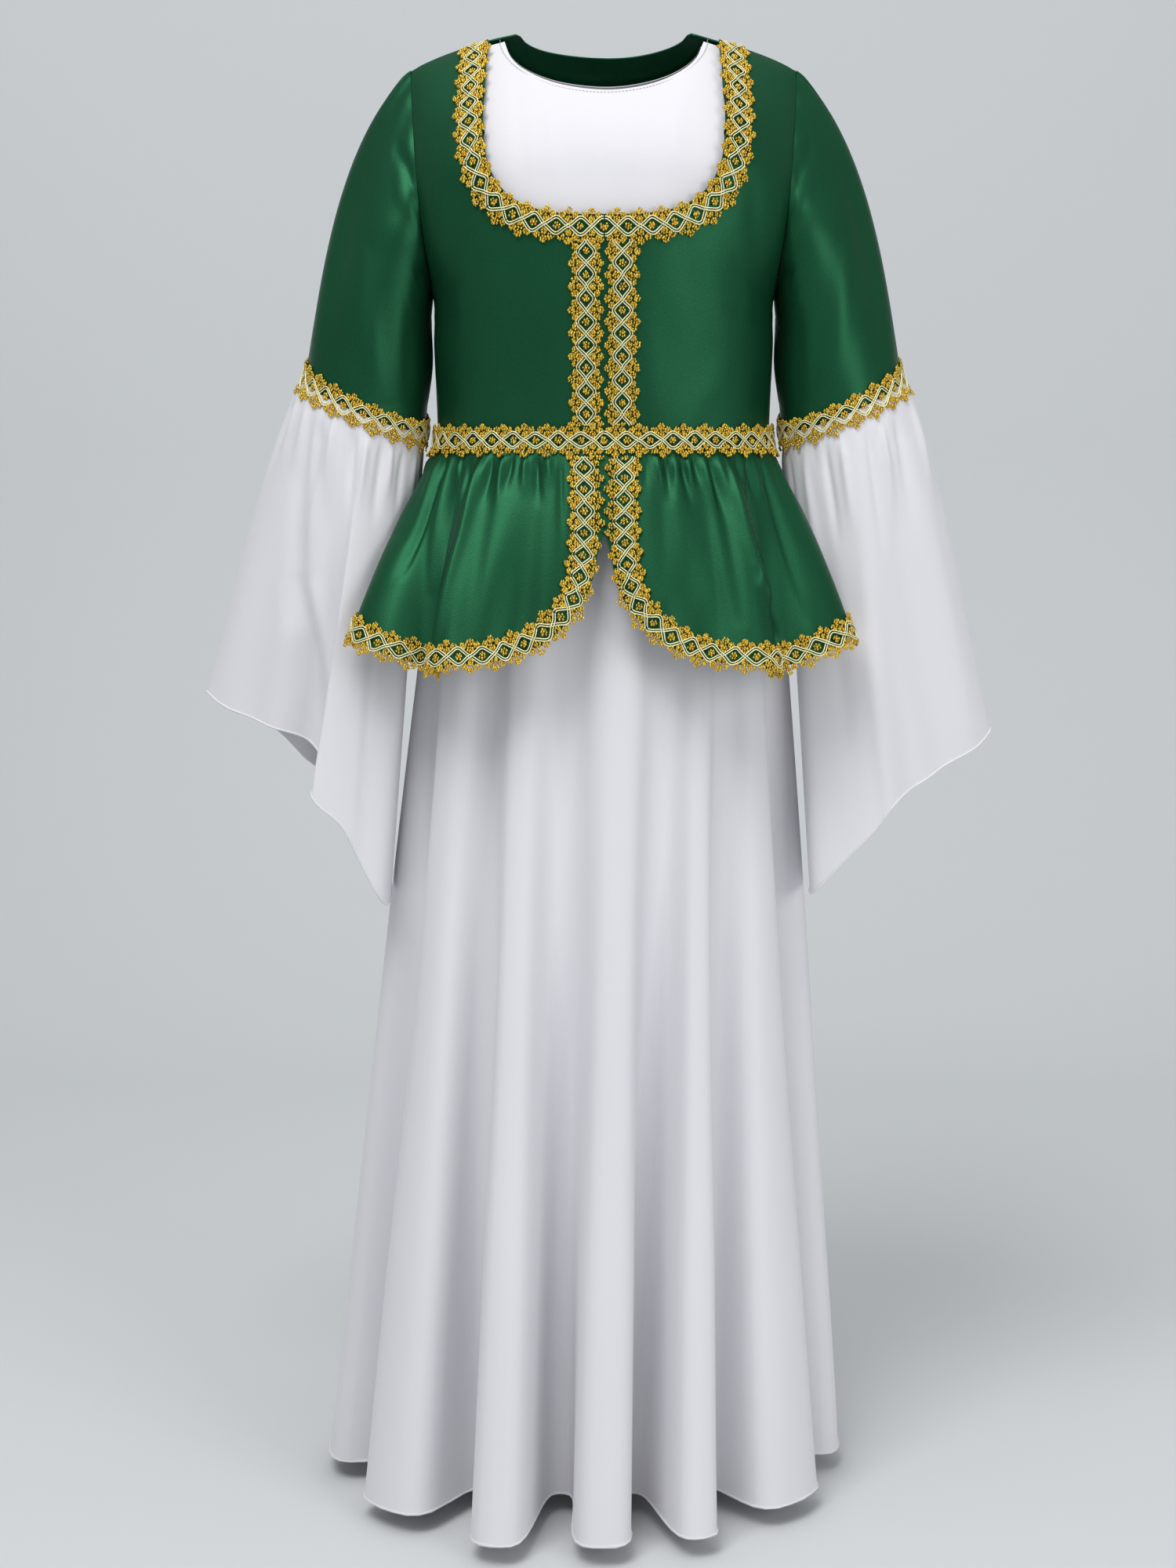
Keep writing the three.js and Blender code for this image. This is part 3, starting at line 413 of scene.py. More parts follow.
# Creases in the plain cloth of the dress inside the neckline: x0, z0, x1, z1, width, depth.
FRONT_DRESS_CREASES = [
    [-40, -50, -34, -130, 5, 0.5],
    [-8, -52, -10, -134, 4, 0.45],
    [28, -55, 22, -130, 5, -0.5],
    [55, -40, 48, -120, 6, 0.5],
    [-62, -30, -58, -110, 5, -0.5],
]


# ---- the jacket's body ----
def along_line(points, shares):
    lengths = lengths_along(points)
    return walk(points, lengths, shares * lengths[-1])


def square_neckline(inset=0.0, steps=48):
    angle = np.linspace(0, np.pi / 2, steps + 1)
    x = (NECK_HALF + inset) * np.sin(angle) ** (2 / NECK_SQUARENESS)
    z = NECK_TURN_Z - (NECK_TURN_Z - NECK_BOTTOM_Z + inset) * np.abs(np.cos(angle)) ** (2 / NECK_SQUARENESS)
    top = NECK_TOP_HALF + inset
    return np.vstack([np.stack([x, z], -1), [[top, shoulder_ridge(top) - SEAM]]])


TO_SIDE = {"front": 125, "back": 190}  # cloth from a panel's middle to its side seam
SEAM_FADE, FRONT_EDGE_FADE = 0.04, 0.08  # creases fade in over these shares of a panel's width
NO_SEAM = 400  # a distance at which no seam is felt


def seam_grooves(from_side, x, z, neck_half):
    """How far a panel rolls in along its side seam and its shoulder seam, which ends at the neck."""
    from_shoulder = shoulder_ridge(x) - z + NO_SEAM * (np.abs(x) < neck_half)
    return SEAM_GROOVE * (bump(from_side, 0, SEAM_WIDTH) + bump(from_shoulder, 0, SEAM_WIDTH))


def jacket_front_grid(columns=66, rows=52, shoulder_steps=12, edge_steps=60):
    """A patch stretched between the front's four edges, in turns and heights."""
    neck = square_neckline()
    neck[0] = [0, NECK_BOTTOM_Z]
    shoulder_x = np.linspace(NECK_TOP_HALF, SHOULDER_HALF, shoulder_steps)[1:]
    shoulder = np.stack([shoulder_x, shoulder_ridge(shoulder_x) - SEAM], -1)
    outline = np.vstack([neck, shoulder])
    lengths = lengths_along(outline)
    corner = lengths[len(neck) - 1] / lengths[-1]
    neck_columns = round(columns * corner)
    neck_u = np.linspace(0, corner, neck_columns)
    u = np.concatenate([neck_u, np.linspace(corner, 1, columns - neck_columns)[1:]])
    v = np.linspace(0, 1, rows)
    top = along_line(outline, u)
    top[:, 0] = turn_at(top[:, 0], top[:, 1])
    bottom = np.stack([90 * u, np.full_like(u, WAIST_Z)], -1)
    inner_z = WAIST_Z + (NECK_BOTTOM_Z - WAIST_Z) * v
    inner = np.stack([0 * inner_z, inner_z], -1)
    edge_z = np.linspace(WAIST_Z, SHOULDER_TIP_Z, edge_steps)
    edge_x = body_point(edge_turn(edge_z), edge_z)[:, 0]
    edge = along_line(np.stack([edge_x, edge_z], -1), v)
    outer = np.stack([edge_turn(edge[:, 1]), edge[:, 1]], -1)
    uu, vv = u[None, :, None], v[:, None, None]
    blend = ((1 - vv) * bottom[None] + vv * top[None] + (1 - uu) * inner[:, None] + uu * outer[:, None]
             - (1 - uu) * (1 - vv) * bottom[0] - uu * (1 - vv) * bottom[-1]
             - (1 - uu) * vv * top[0] - uu * vv * top[-1])
    grid = body_point(np.clip(blend[..., 0], 0, 90), blend[..., 1])
    x, z = grid[..., 0], grid[..., 2]
    lift = add_creases(x, z, JACKET_CREASES) + ripple("jacket front", x, z)
    lift *= ramp(u, 0, FRONT_EDGE_FADE) * ramp(1 - u, 0, SEAM_FADE)
    lift -= seam_grooves((1 - u) * TO_SIDE["front"], x, z, NECK_TOP_HALF)
    return grid + grid_normals(grid) * lift[..., None]


# Creases of a jacket front: x0, z0, x1, z1, width, depth.
JACKET_CREASES = [
    [126, -200, 96, -172, 7, -1.1],
    [124, -214, 92, -206, 6, -0.8],
    [102, -158, 102, -222, 7, 0.9],
    [107, -112, 108, -168, 7, -0.8],
    [104, -60, 112, -110, 9, 0.7],
    [56, -160, 84, -250, 12, -0.7],
    [88, -238, 60, -286, 10, 0.7],
    [30, -200, 36, -280, 8, 0.5],
    [118, -250, 112, -280, 6, -0.8],
]


def jacket_back_grid(columns=104, rows=56):
    sides = np.linspace(1, -1, columns)
    grid = bodice_grid(sides, True, JACKET_NECK["half"], JACKET_NECK["back"], 0, WAIST_Z, rows)
    x, z = grid[..., 0], grid[..., 2]
    both = [[way * a, b, way * c, *rest] for way in (1, -1) for a, b, c, *rest in BACK_CREASES]
    lift = add_creases(x, z, both) + ripple("jacket back", x, z)
    from_side = 1 - np.abs(sides)
    lift *= ramp(from_side, 0, SEAM_FADE)
    lift -= seam_grooves(from_side * TO_SIDE["back"], x, z, JACKET_NECK["half"])
    return grid + grid_normals(grid) * lift[..., None]


# Creases of the back's left half, as for a front; the right half has them mirrored.
BACK_CREASES = [
    [124, -200, 88, -150, 8, -1.2],
    [126, -215, 96, -206, 7, -0.9],
    [112, -60, 96, -140, 10, 0.9],
    [50, -190, 62, -286, 10, 0.9],
    [22, -240, 30, -292, 6, -0.6],
]


# ---- sleeves and flounces, for the wearer's left arm ----
def swing(turn, pull):
    mean, amount, forward = pull
    return mean + np.cos(turn)[..., None] * amount + np.sin(turn)[..., None] * forward


def cuff_point(turn):
    return CUFF_MIDDLE + np.cos(turn)[..., None] * CUFF_OUTWARD + np.sin(turn)[..., None] * CUFF_FORWARD


def armhole_point(turn):
    z = ARMPIT_Z + (SHOULDER_TIP_Z - ARMPIT_Z) * (1 + np.cos(turn)) / 2
    front = column_point(np.ones_like(z), z, False, 0)
    back = column_point(np.ones_like(z), z, True, 0)
    point = np.where((np.sin(turn) < 0)[..., None], back, front)
    return point + np.array([-ARMHOLE_LAP, 0, 0])


def sleeve_point(turn, share):
    turn, share = np.broadcast_arrays(np.asarray(turn, float), np.asarray(share, float))
    return hermite(share[..., None], armhole_point(turn), swing(turn, ARMHOLE_PULL),
                   cuff_point(turn), swing(turn, CUFF_PULL))


SLEEVE_LENGTH = 190
SLEEVE_END = 0.997  # the cuff's edge, as a share of the sleeve
SLEEVE_SCALE = 0.9  # millimetres for a degree round the sleeve
EASE_DROP, EASE_WIDTH = 6, 11  # small puckers over the sleeve's head
EASE_COUNT, EASE_DEPTH, EASE_UNEVENNESS = 16, 0.6, 0.9
EASE_FREE, RIPPLE_FREE = 5, 40  # puckers and unevenness fade in below the seam


def sleeve_grid(columns=110, rows=62):
    turn = np.linspace(0, 2 * np.pi, columns, endpoint=False)[None, :]
    share = np.linspace(0, SLEEVE_END, rows)[:, None]
    grid = sleeve_point(turn, share)
    degrees = np.degrees(turn)
    length = share * SLEEVE_LENGTH
    lift = sum(add_creases(degrees + lap, length, SLEEVE_CREASES) for lap in (-360, 0, 360))
    head = bump(length, EASE_DROP, EASE_WIDTH) * (0.5 + 0.5 * np.cos(turn)) ** 0.5
    lift += EASE_DEPTH * head * np.cos(EASE_COUNT * turn + EASE_UNEVENNESS * np.sin(3 * turn))
    lift += ripple("sleeve", degrees * SLEEVE_SCALE, length) * ramp(length, 0, RIPPLE_FREE)
    lift = lift * ramp(length, 0, EASE_FREE) - SLEEVE_GROOVE * bump(length, 0, SEAM_WIDTH)
    return grid + grid_normals(grid, ring=True) * lift[..., None]


# Creases of a sleeve: turn and length from the armhole at each end, width, depth.
SLEEVE_CREASES = [
    [60, 22, 97, 2, 5, -1.7],
    [80, 30, 112, 6, 6, 1.0],
    [142, 2, 128, 34, 5, -1.8],
    [128, 0, 74, 70, 9, 1.1],
    [226, 0, 282, 74, 9, 1.3],
    [212, 2, 262, 84, 7, -1.5],
    [72, 88, 108, 166, 14, 1.7],
    [128, 70, 134, 160, 10, -1.3],
    [40, 60, 46, 168, 14, -1.1],
    [24, 30, 22, 165, 14, 1.0],
    [300, 50, 292, 165, 12, 1.4],
    [335, 40, 330, 165, 12, -1.1],
    [186, 40, 182, 150, 9, 1.5],
]


# Gathers under the cuffs, and the flounces' long folds: turn and drop at each end, width and depth in mm.
FLOUNCE_GATHERS = {
    "left": random_gathers(18, 31, (50, 105), (1.5, 2.8), (2.4, 4.0)),
    "right": [
        [12, 80, 3.2, -2.4, 1], [24, 60, 2.8, 1.8, 1], [40, 66, 3.2, 2.2, 2], [57.5, 100, 3.4, -3.2, 3],
        [68, 80, 3.2, 2.8, 3], [86.5, 70, 3.0, -2.6, 3], [99, 62, 2.8, 2.2, 2], [113, 70, 2.8, -2.4, 2],
        [122.5, 48, 2.6, 1.8, 1], [135, 54, 2.6, -2.0, 1], [154, 44, 2.8, 1.7, 0], [172, 54, 3.0, -1.7, 0],
        [196, 66, 3.2, 2.2, -2], [216, 80, 3.4, -2.5, -2], [238, 70, 3.2, 2.4, -2],
        [262, 84, 3.4, -2.7, -1], [286, 68, 3.2, 2.3, 1], [312, 90, 3.4, -2.7, 1], [338, 72, 3.2, 2.3, 1],
    ],
}
FLOUNCE_FOLDS = {
    "left": [[86, 20, 102, 262, 12, 3.2], [60, 60, 62, 262, 12, -2.6], [36, 50, 32, 258, 14, 2.4],
             [128, 60, 138, 255, 10, -2.2], [236, 40, 243, 262, 12, 3.0], [262, 60, 270, 262, 12, -2.4],
             [300, 60, 300, 262, 13, 2.6]],
    "right": [[56, 22, 71, 176, 6, 3.6], [69, 150, 98, 264, 6, 4.4], [46, 30, 57, 176, 7, -3.4],
              [60, 150, 84, 262, 8, -4.2], [24, 60, 18, 262, 14, 2.2], [124, 80, 146, 262, 10, -2.2],
              [238, 40, 240, 262, 12, 3.0], [266, 60, 270, 262, 12, -2.4], [300, 60, 302, 262, 13, 2.6]],
}
FLOUNCE_FINE_GATHERS = random_gathers(46, 33, (12, 24), (0.3, 0.6), (1.2, 2.2))
FLOUNCE_SCALE = 0.9  # millimetres for a degree round the flounce
FLOUNCE_LENGTH = 270
FLOUNCE_FULLNESS, PEPLUM_FULLNESS = 1.3, 1.25  # how much deeper the gathers are than their tables say
SWAY_COUNT, SWAY_DEPTH = 7, 1.4  # soft waves that grow towards a flounce's hem
BODY_TURN, BODY_WIDTH, BODY_FLATTENING = 180, 40, 0.6  # a flounce is flatter beside the body
FLOUNCE_START = 0.002  # the gathered edge, as a share of the flounce
FIRST_ROW, ROW_GROWTH = 0.045, 1.25  # rows lie closer together towards the gathers


def flounce_point(side, turn, share):
    turn, share = np.broadcast_arrays(np.asarray(turn, float), np.asarray(share, float))
    degrees = np.degrees(turn)
    end = read_table(FLOUNCE_HEM[side], degrees, 360)
    top = cuff_point(turn)
    point = top + (end - top) * share[..., None]
    outward = top - CUFF_MIDDLE
    outward[..., 2] = 0
    outward = outward / np.linalg.norm(outward, axis=-1, keepdims=True)
    drop = share * FLOUNCE_LENGTH - GATHERS_START
    lift = FLOUNCE_FULLNESS * add_gathers(degrees, drop, FLOUNCE_GATHERS[side], FLOUNCE_SCALE)
    lift += add_gathers(degrees, drop, FLOUNCE_FINE_GATHERS, FLOUNCE_SCALE)
    lift += add_creases(degrees % 360, share * FLOUNCE_LENGTH, FLOUNCE_FOLDS[side])
    sway = np.sin(SWAY_COUNT * turn + 2 * np.sin(2 * turn + len(side)))
    lift += SWAY_DEPTH * sway * ramp(share, 0.3, 1)
    lift *= 1 - BODY_FLATTENING * bump(degrees % 360, BODY_TURN, BODY_WIDTH)
    lift += FLOUNCE_BELL * np.sin(np.pi * np.sqrt(np.clip(share, 0, 1))) * (0.5 + 0.5 * np.cos(turn))
    return point + outward * lift[..., None]


def flounce_grid(side, columns=190, rows=66):
    turn = np.linspace(0, 2 * np.pi, columns, endpoint=False)[None, :]
    share = (np.linspace(FIRST_ROW, 1, rows) ** ROW_GROWTH)[:, None]
    share = (share - share[0]) / (share[-1] - share[0]) * (1 - FLOUNCE_START) + FLOUNCE_START
    return flounce_point(side, turn, share)


# ---- the peplum ----
def signed_turn(turn):
    """A turn from 0 to 360 as one from -180 to 180."""
    turn = np.asarray(turn, float)
    return np.where(turn > 180, turn - 360, turn)


def peplum_hem(turn):
    x, y, z = np.moveaxis(read_table(PEPLUM_HEM, np.abs(turn)), -1, 0)
    corner, width, reach = RIGHT_CORNER
    extra = np.where(turn < 0, reach * bump(np.abs(turn), corner, width), 0)
    return np.sign(turn) * (x + extra), y, z


# Gathers under the waist, as for add_gathers: first those in front, from the wearer's right to left.
PEPLUM_GATHERS = [
    [-62, 38, 3.2, -1.9, -2], [-57, 62, 3.6, -3.0, 3], [-52.5, 36, 3.0, 2.0, 1], [-46, 52, 3.4, -2.2, 2],
    [-40.5, 60, 3.4, 2.6, -2], [-36, 40, 2.8, -1.9, 0], [-31.8, 44, 2.8, 1.8, 1], [-28, 30, 2.4, -1.6, -1],
    [-23.5, 34, 2.6, 1.5, 1], [-19.8, 42, 2.6, -2.0, 2], [-15.5, 26, 2.4, 1.2, 1],
    [-11.6, 62, 2.0, -1.6, 1],
    [11.2, 34, 2.4, -1.8, -1], [14.5, 26, 2.4, 1.4, 1], [17.5, 40, 2.6, -2.0, 1], [20.2, 30, 2.4, 1.6, 1],
    [22.7, 46, 2.6, -2.1, 2], [25.2, 32, 2.4, 1.6, 0], [27.3, 30, 2.4, -1.7, 1], [30.5, 42, 2.8, 1.9, 2],
    [33.3, 52, 2.8, -2.3, 2], [36.6, 36, 2.6, 1.7, 1], [40, 58, 3.2, 2.4, 2], [44.5, 40, 2.8, -2.0, 3],
    [47.8, 34, 2.6, 1.7, 2], [52, 46, 3.0, -2.3, 3], [56.3, 36, 2.8, 1.8, 2], [61.8, 50, 3.0, -2.2, 3],
]
SIDES_FROM = 66  # beyond this turn the gathers are random ones
random_rows = random_gathers(52, 44, (24, 58), (1.3, 2.5), (2.4, 3.8))
PEPLUM_GATHERS += [row for row in random_rows if abs(row[0]) > SIDES_FROM]
PEPLUM_FINE_GATHERS = random_gathers(96, 45, (14, 26), (0.35, 0.8))

# The peplum's long folds: turn and height at each end, width and depth in mm.
PEPLUM_FOLDS = [
    [-39, -317, -45.3, -446, 4.5, 4.0],
    [-34.5, -325, -36, -440, 7, -1.6],
    [-56, -314, -50, -420, 4.6, -6.0],
    [-60, -322, -58, -400, 5, 2.0],
    [-63.8, -334, -66.8, -392, 3.4, -4.0],
    [-71, -372, -69, -436, 11, 3.0],
    [-26, -330, -29, -440, 12, 2.2],
    [-19, -335, -21, -425, 8, -1.6],
    [-11.8, -312, -11, -372, 2.2, -1.4],
    [-84, -330, -86, -440, 6, -2.4],
    [39.3, -319, 43.3, -394, 4.6, 4.2],
    [43.3, -384, 57, -440, 4.8, 4.0],
    [35, -322, 36, -420, 5, -2.9],
    [49, -318, 51.5, -404, 4.6, -5.4],
    [62, -330, 66, -420, 4.5, -3.8],
    [21, -330, 24, -430, 8, 2.6],
    [15.5, -325, 16, -400, 6, -1.2],
    [29, -335, 31, -440, 6, -2.8],
    [71, -340, 72, -434, 9, 2.6],
    [84, -330, 86, -440, 6, -2.4],
    [104, -330, 101, -440, 8, 2.4],
    [118, -330, 116, -440, 7, 2.6],
    [131, -330, 131, -430, 6, -3.4],
    [151, -330, 148, -440, 8, 2.4],
    [167, -330, 169, -430, 7, -2.4],
    [-101, -330, -104, -440, 8, 2.4],
    [-116, -330, -119, -440, 7, 2.6],
    [-129, -330, -131, -430, 6, -3.4],
    [-149, -330, -145, -440, 8, 2.4],
    [-168, -330, -164, -430, 7, -2.4],
]
WAIST_SCALE = 2.2  # millimetres for a degree of the waist turn
PLAIN_TURN = 8  # the front edges hang without gathers this far round
PEPLUM_RIPPLE = (0.25, 0.8)  # its unevenness fades in between these shares of its length
HEM_SHORTENING = 3  # the cloth ends under the lace's cords
PEPLUM_START = 0.002  # the gathered edge, as a share of the peplum
PEPLUM_SEAM_TURN = 93  # where a front meets the back


def peplum_point(turn, z):
    """A point of the peplum at a waist turn, from -180 to 180, and a height."""
    turn, z = np.broadcast_arrays(signed_turn(turn), np.asarray(z, float))
    hem_x, hem_y, _ = peplum_hem(turn)
    blend = (WAIST_Z - z) / (WAIST_Z - PEPLUM_RING_Z)
    waist = body_point(turn, WAIST_Z)
    radians = np.radians(turn)
    drop = WAIST_Z - z - GATHERS_START
    out = PEPLUM_FULLNESS * add_gathers(turn, drop, PEPLUM_GATHERS, WAIST_SCALE)
    out += add_gathers(turn, drop, PEPLUM_FINE_GATHERS, WAIST_SCALE)
    folds = [[a * WAIST_SCALE, b, c * WAIST_SCALE, *rest] for a, b, c, *rest in PEPLUM_FOLDS]
    out += add_creases(turn * WAIST_SCALE, z, folds)
    out += ripple("peplum", turn * WAIST_SCALE, z) * ramp(blend, *PEPLUM_RIPPLE)
    out *= np.clip(np.abs(turn) / PLAIN_TURN - 1, 0, 1)
    out += PEPLUM_BELL * np.sin(np.pi * np.clip(blend, 0, 1))
    x = waist[..., 0] + (hem_x - waist[..., 0]) * blend + np.sin(radians) * out
    y = waist[..., 1] + (hem_y - waist[..., 1]) * blend - np.cos(radians) * out
    return np.stack([x, y, z], -1)


def mirrored(points):
    return points * np.array([-1.0, 1.0, 1.0])


# Both fronts on the wearer's left side, so that one path serves both.
peplum_sides = {"left": peplum_point, "right": lambda turn, z: mirrored(peplum_point(-turn, z))}


def peplum_grid(surface, turns, rows=48):
    turns = signed_turn(turns)
    share = np.linspace(1, PEPLUM_START, rows)[:, None]
    hem_z = peplum_hem(turns)[2] + HEM_SHORTENING
    return surface(turns[None, :], WAIST_Z + (hem_z - WAIST_Z) * share)


# ---- meshes ----
def new_mesh(name, vertices, faces, material, smooth=True, sharp=None):
    """An object from vertices in millimetres and an array of faces, all with as many corners."""
    mesh = bpy.data.meshes.new(name)
    corners = faces.shape[1]
    mesh.vertices.add(len(vertices))
    mesh.vertices.foreach_set("co", (vertices * MM).astype(np.float32).ravel())
    mesh.loops.add(faces.size)
    mesh.loops.foreach_set("vertex_index", faces.astype(np.int32).ravel())
    mesh.polygons.add(len(faces))
    mesh.polygons.foreach_set("loop_start", np.arange(0, faces.size, corners, dtype=np.int32))
    mesh.update(calc_edges=True)
    mesh.polygons.foreach_set("use_smooth", np.full(len(faces), smooth))
    if sharp is not None:
        ends = np.zeros(2 * len(mesh.edges), np.int32)
        mesh.edges.foreach_get("vertices", ends)
        ends = ends.reshape(-1, 2)
        is_sharp = (sharp[ends[:, 0]] > 0) & (sharp[ends[:, 0]] == sharp[ends[:, 1]])
        mesh.edges.foreach_set("use_edge_sharp", is_sharp)
    mesh.validate()
    mesh.materials.append(material)
    thing = bpy.data.objects.new(name, mesh)
    bpy.context.scene.collection.objects.link(thing)
    return thing


def shell(name, grid, material, ring=False, thickness=CLOTH):
    """A thin closed shell: the grid is its outer face."""
    normals = grid_normals(grid, ring)
    sign = outward_sign(grid, normals)
    rows, columns = grid.shape[:2]
    inner = grid - normals * thickness * sign
    vertices = np.vstack([grid.reshape(-1, 3), inner.reshape(-1, 3)])
    steps = columns if ring else columns - 1
    r, c = np.meshgrid(np.arange(rows - 1), np.arange(steps), indexing="ij")
    index = lambda row, column: row * columns + column % columns
    a, b = index(r, c).ravel(), index(r, c + 1).ravel()
    d, e = index(r + 1, c).ravel(), index(r + 1, c + 1).ravel()
    layer = rows * columns
    outside = np.stack([a, b, e, d], -1)
    inside = np.stack([a, d, e, b], -1) + layer
    edges = [(index(row, np.arange(steps + 1)), flip) for row, flip in ((0, False), (rows - 1, True))]
    if not ring:
        edges += [(index(np.arange(rows), column), flip)
                  for column, flip in ((0, True), (columns - 1, False))]
    rims = []
    for edge, flip in edges:
        at, to = edge[:-1], edge[1:]
        rim = np.stack([at, at + layer, to + layer, to], -1)
        rims.append(rim[:, ::-1] if flip else rim)
    faces = np.vstack([outside, inside, *rims])
    if sign < 0:
        faces = faces[:, ::-1]
    sharp = np.zeros((rows, columns), int)
    sharp[[0, -1]] = 1
    if not ring:
        sharp[:, [0, -1]] = 1
    sharp = np.concatenate([sharp.ravel(), 2 * sharp.ravel()])
    return new_mesh(name, vertices, faces, material, sharp=sharp)


def outward_sign(grid, normals):
    """1 where the grid's normals look away from the axis of its form, and -1 where they look to it."""
    away = grid - grid.reshape(-1, 3).mean(0)
    away[..., 2] = 0
    return 1 if (away * normals).sum() > 0 else -1


def tube(points, radius, sides=6, closed=False):
    """Vertices and faces of a thin cord along points; radius may be one number or one for each point."""
    points = np.asarray(points, float)
    count = len(points)
    onward = np.roll(points, -1, 0) - np.roll(points, 1, 0) if closed else np.gradient(points, axis=0)
    onward /= np.maximum(np.linalg.norm(onward, axis=1, keepdims=True), 1e-9)
    up = np.tile([0.0, 0.0, 1.0], (count, 1))
    up[np.abs(onward[:, 2]) > 0.9] = [0.0, 1.0, 0.0]
    side = np.cross(onward, up)
    side /= np.linalg.norm(side, axis=1, keepdims=True)
    up = np.cross(side, onward)
    angle = np.linspace(0, 2 * np.pi, sides, endpoint=False)
    radius = np.broadcast_to(np.asarray(radius, float), (count,))[:, None, None]
    ring = points[:, None] + radius * (np.cos(angle)[None, :, None] * side[:, None]
                                       + np.sin(angle)[None, :, None] * up[:, None])
    vertices = ring.reshape(-1, 3)
    steps = count if closed else count - 1
    i, j = np.meshgrid(np.arange(steps), np.arange(sides), indexing="ij")
    i, j = i.ravel(), j.ravel()
    at = lambda p, q: (p % count) * sides + q % sides
    faces = np.stack([at(i, j), at(i, j + 1), at(i + 1, j + 1), at(i + 1, j)], -1)
    return vertices, faces


def join_parts(parts):
    """One vertex and one face array from several."""
    vertices, faces, start = [], [], 0
    for part_vertices, part_faces in parts:
        vertices.append(part_vertices)
        faces.append(part_faces + start)
        start += len(part_vertices)
    return np.vstack(vertices), np.vstack(faces)


def knot_shape(sides=5, rings=1):
    """A small ball with quad faces, open by a pinhole at its poles."""
    vertices, faces = [], []
    for polar in np.linspace(PINHOLE, np.pi - PINHOLE, rings + 2):
        width, height = math.sin(polar), math.cos(polar)
        for angle in np.linspace(0, 2 * np.pi, sides, endpoint=False):
            vertices.append([width * math.cos(angle), width * math.sin(angle), height])
    for start in range(0, (rings + 1) * sides, sides):
        for side in range(sides):
            here, onward = start + side, start + (side + 1) % sides
            faces.append([here, onward, onward + sides, here + sides])
    return np.array(vertices), np.array(faces)


PINHOLE = 0.12
KNOT_VERTICES, KNOT_FACES = knot_shape()


def knots(centres, radii):
    """Many small balls as one vertex and one face array."""
    vertices = centres[:, None] + KNOT_VERTICES[None] * radii[:, None, None]
    starts = np.arange(len(centres)) * len(KNOT_VERTICES)
    faces = KNOT_FACES[None] + starts[:, None, None]
    return vertices.reshape(-1, 3), faces.reshape(-1, 4)


# ---- gimp lace ----
NEAR_AT, NEAR_WIDTH = 0.12, 0.5  # the neighbours from which a band's normal is taken


class Band:
    """Three rails along a lace band: its middle, and its two edges, BAND_HALF from the middle."""

    def __init__(self, rails, outward_from, phase=0.0, lift=0.0):
        self.rails, self.phase, self.lift = rails, phase, lift
        self.lengths = lengths_along(rails[1])
        self.pitches = max(1, round(self.lengths[-1] / PITCH))
        self.sign = 1
        at, width = np.array([self.pitches / 2]), np.zeros(1)
        away = self.point(at, width) - outward_from(self.point(at, width))
        self.sign = 1 if (away * self.normal(at, width)).sum() > 0 else -1

    def point(self, at, width):
        along = np.asarray(at, float) / self.pitches * self.lengths[-1]
        low, middle, high = (walk(rail, self.lengths, along) for rail in self.rails)
        w = (np.asarray(width, float) / BAND_HALF)[..., None]
        return middle + (high - low) / 2 * w + ((high + low) / 2 - middle) * w * w

    def normal(self, at, width):
        onward = self.point(at + NEAR_AT, width) - self.point(at - NEAR_AT, width)
        across = self.point(at, width + NEAR_WIDTH) - self.point(at, width - NEAR_WIDTH)
        normal = np.cross(onward, across) * self.sign
        return normal / np.maximum(np.linalg.norm(normal, axis=-1, keepdims=True), 1e-9)

    def place(self, at, width, height):
        height = (np.asarray(height, float) + self.lift)[..., None]
        return self.point(at, width) + self.normal(at, width) * height


# A scallop is four rosettes of knots: the place of each across the pitch and out from the middle.
SCALLOP_ROSETTES = [[-4.7, 7.7], [4.7, 7.7], [0.0, 10.3], [0.0, 4.6]]
ROSETTE_KNOTS, ROSETTE_RADIUS = 7, 1.85
FLOWER_KNOTS, FLOWER_RADIUS = 6, 1.95
KNOT_RADIUS = 1.16
MIDDLE_KNOT = 1.15  # times that, in the middle of a rosette
KNOT_SCATTER, KNOT_HEIGHT = 0.2, 1.25
KNOT_RISES, KNOT_SIZES = (-0.3, 0.5), (0.78, 1.15)
KNOT_MARGIN = 0.5  # knots past the band's ends by more than this are left out
CORD_HEIGHT, CORD_CROSSING = 2.3, 0.5  # the cords' height, and how far one passes over the other
CORD_WAVE = 6.0
CORD_POINT = 0.11  # makes the cords' bends sharper than a plain wave's
CORD_WANDER = 0.5  # unevenness of the lace
STRAND_OFFSET, STRAND_SPREAD = 0.70, 1.25
STRAND_RADIUS = 0.44


def rosette(x, y, count, radius, turn):
    """A ring of knots with one in its middle, as rows of place across, place out and size."""
    angle = turn + np.linspace(0, 2 * np.pi, count, endpoint=False)
    sizes = np.full(count, KNOT_RADIUS)
    ring = np.stack([x + radius * np.cos(angle), y + radius * np.sin(angle), sizes], -1)
    return np.vstack([ring, [[x, y, MIDDLE_KNOT * KNOT_RADIUS]]])


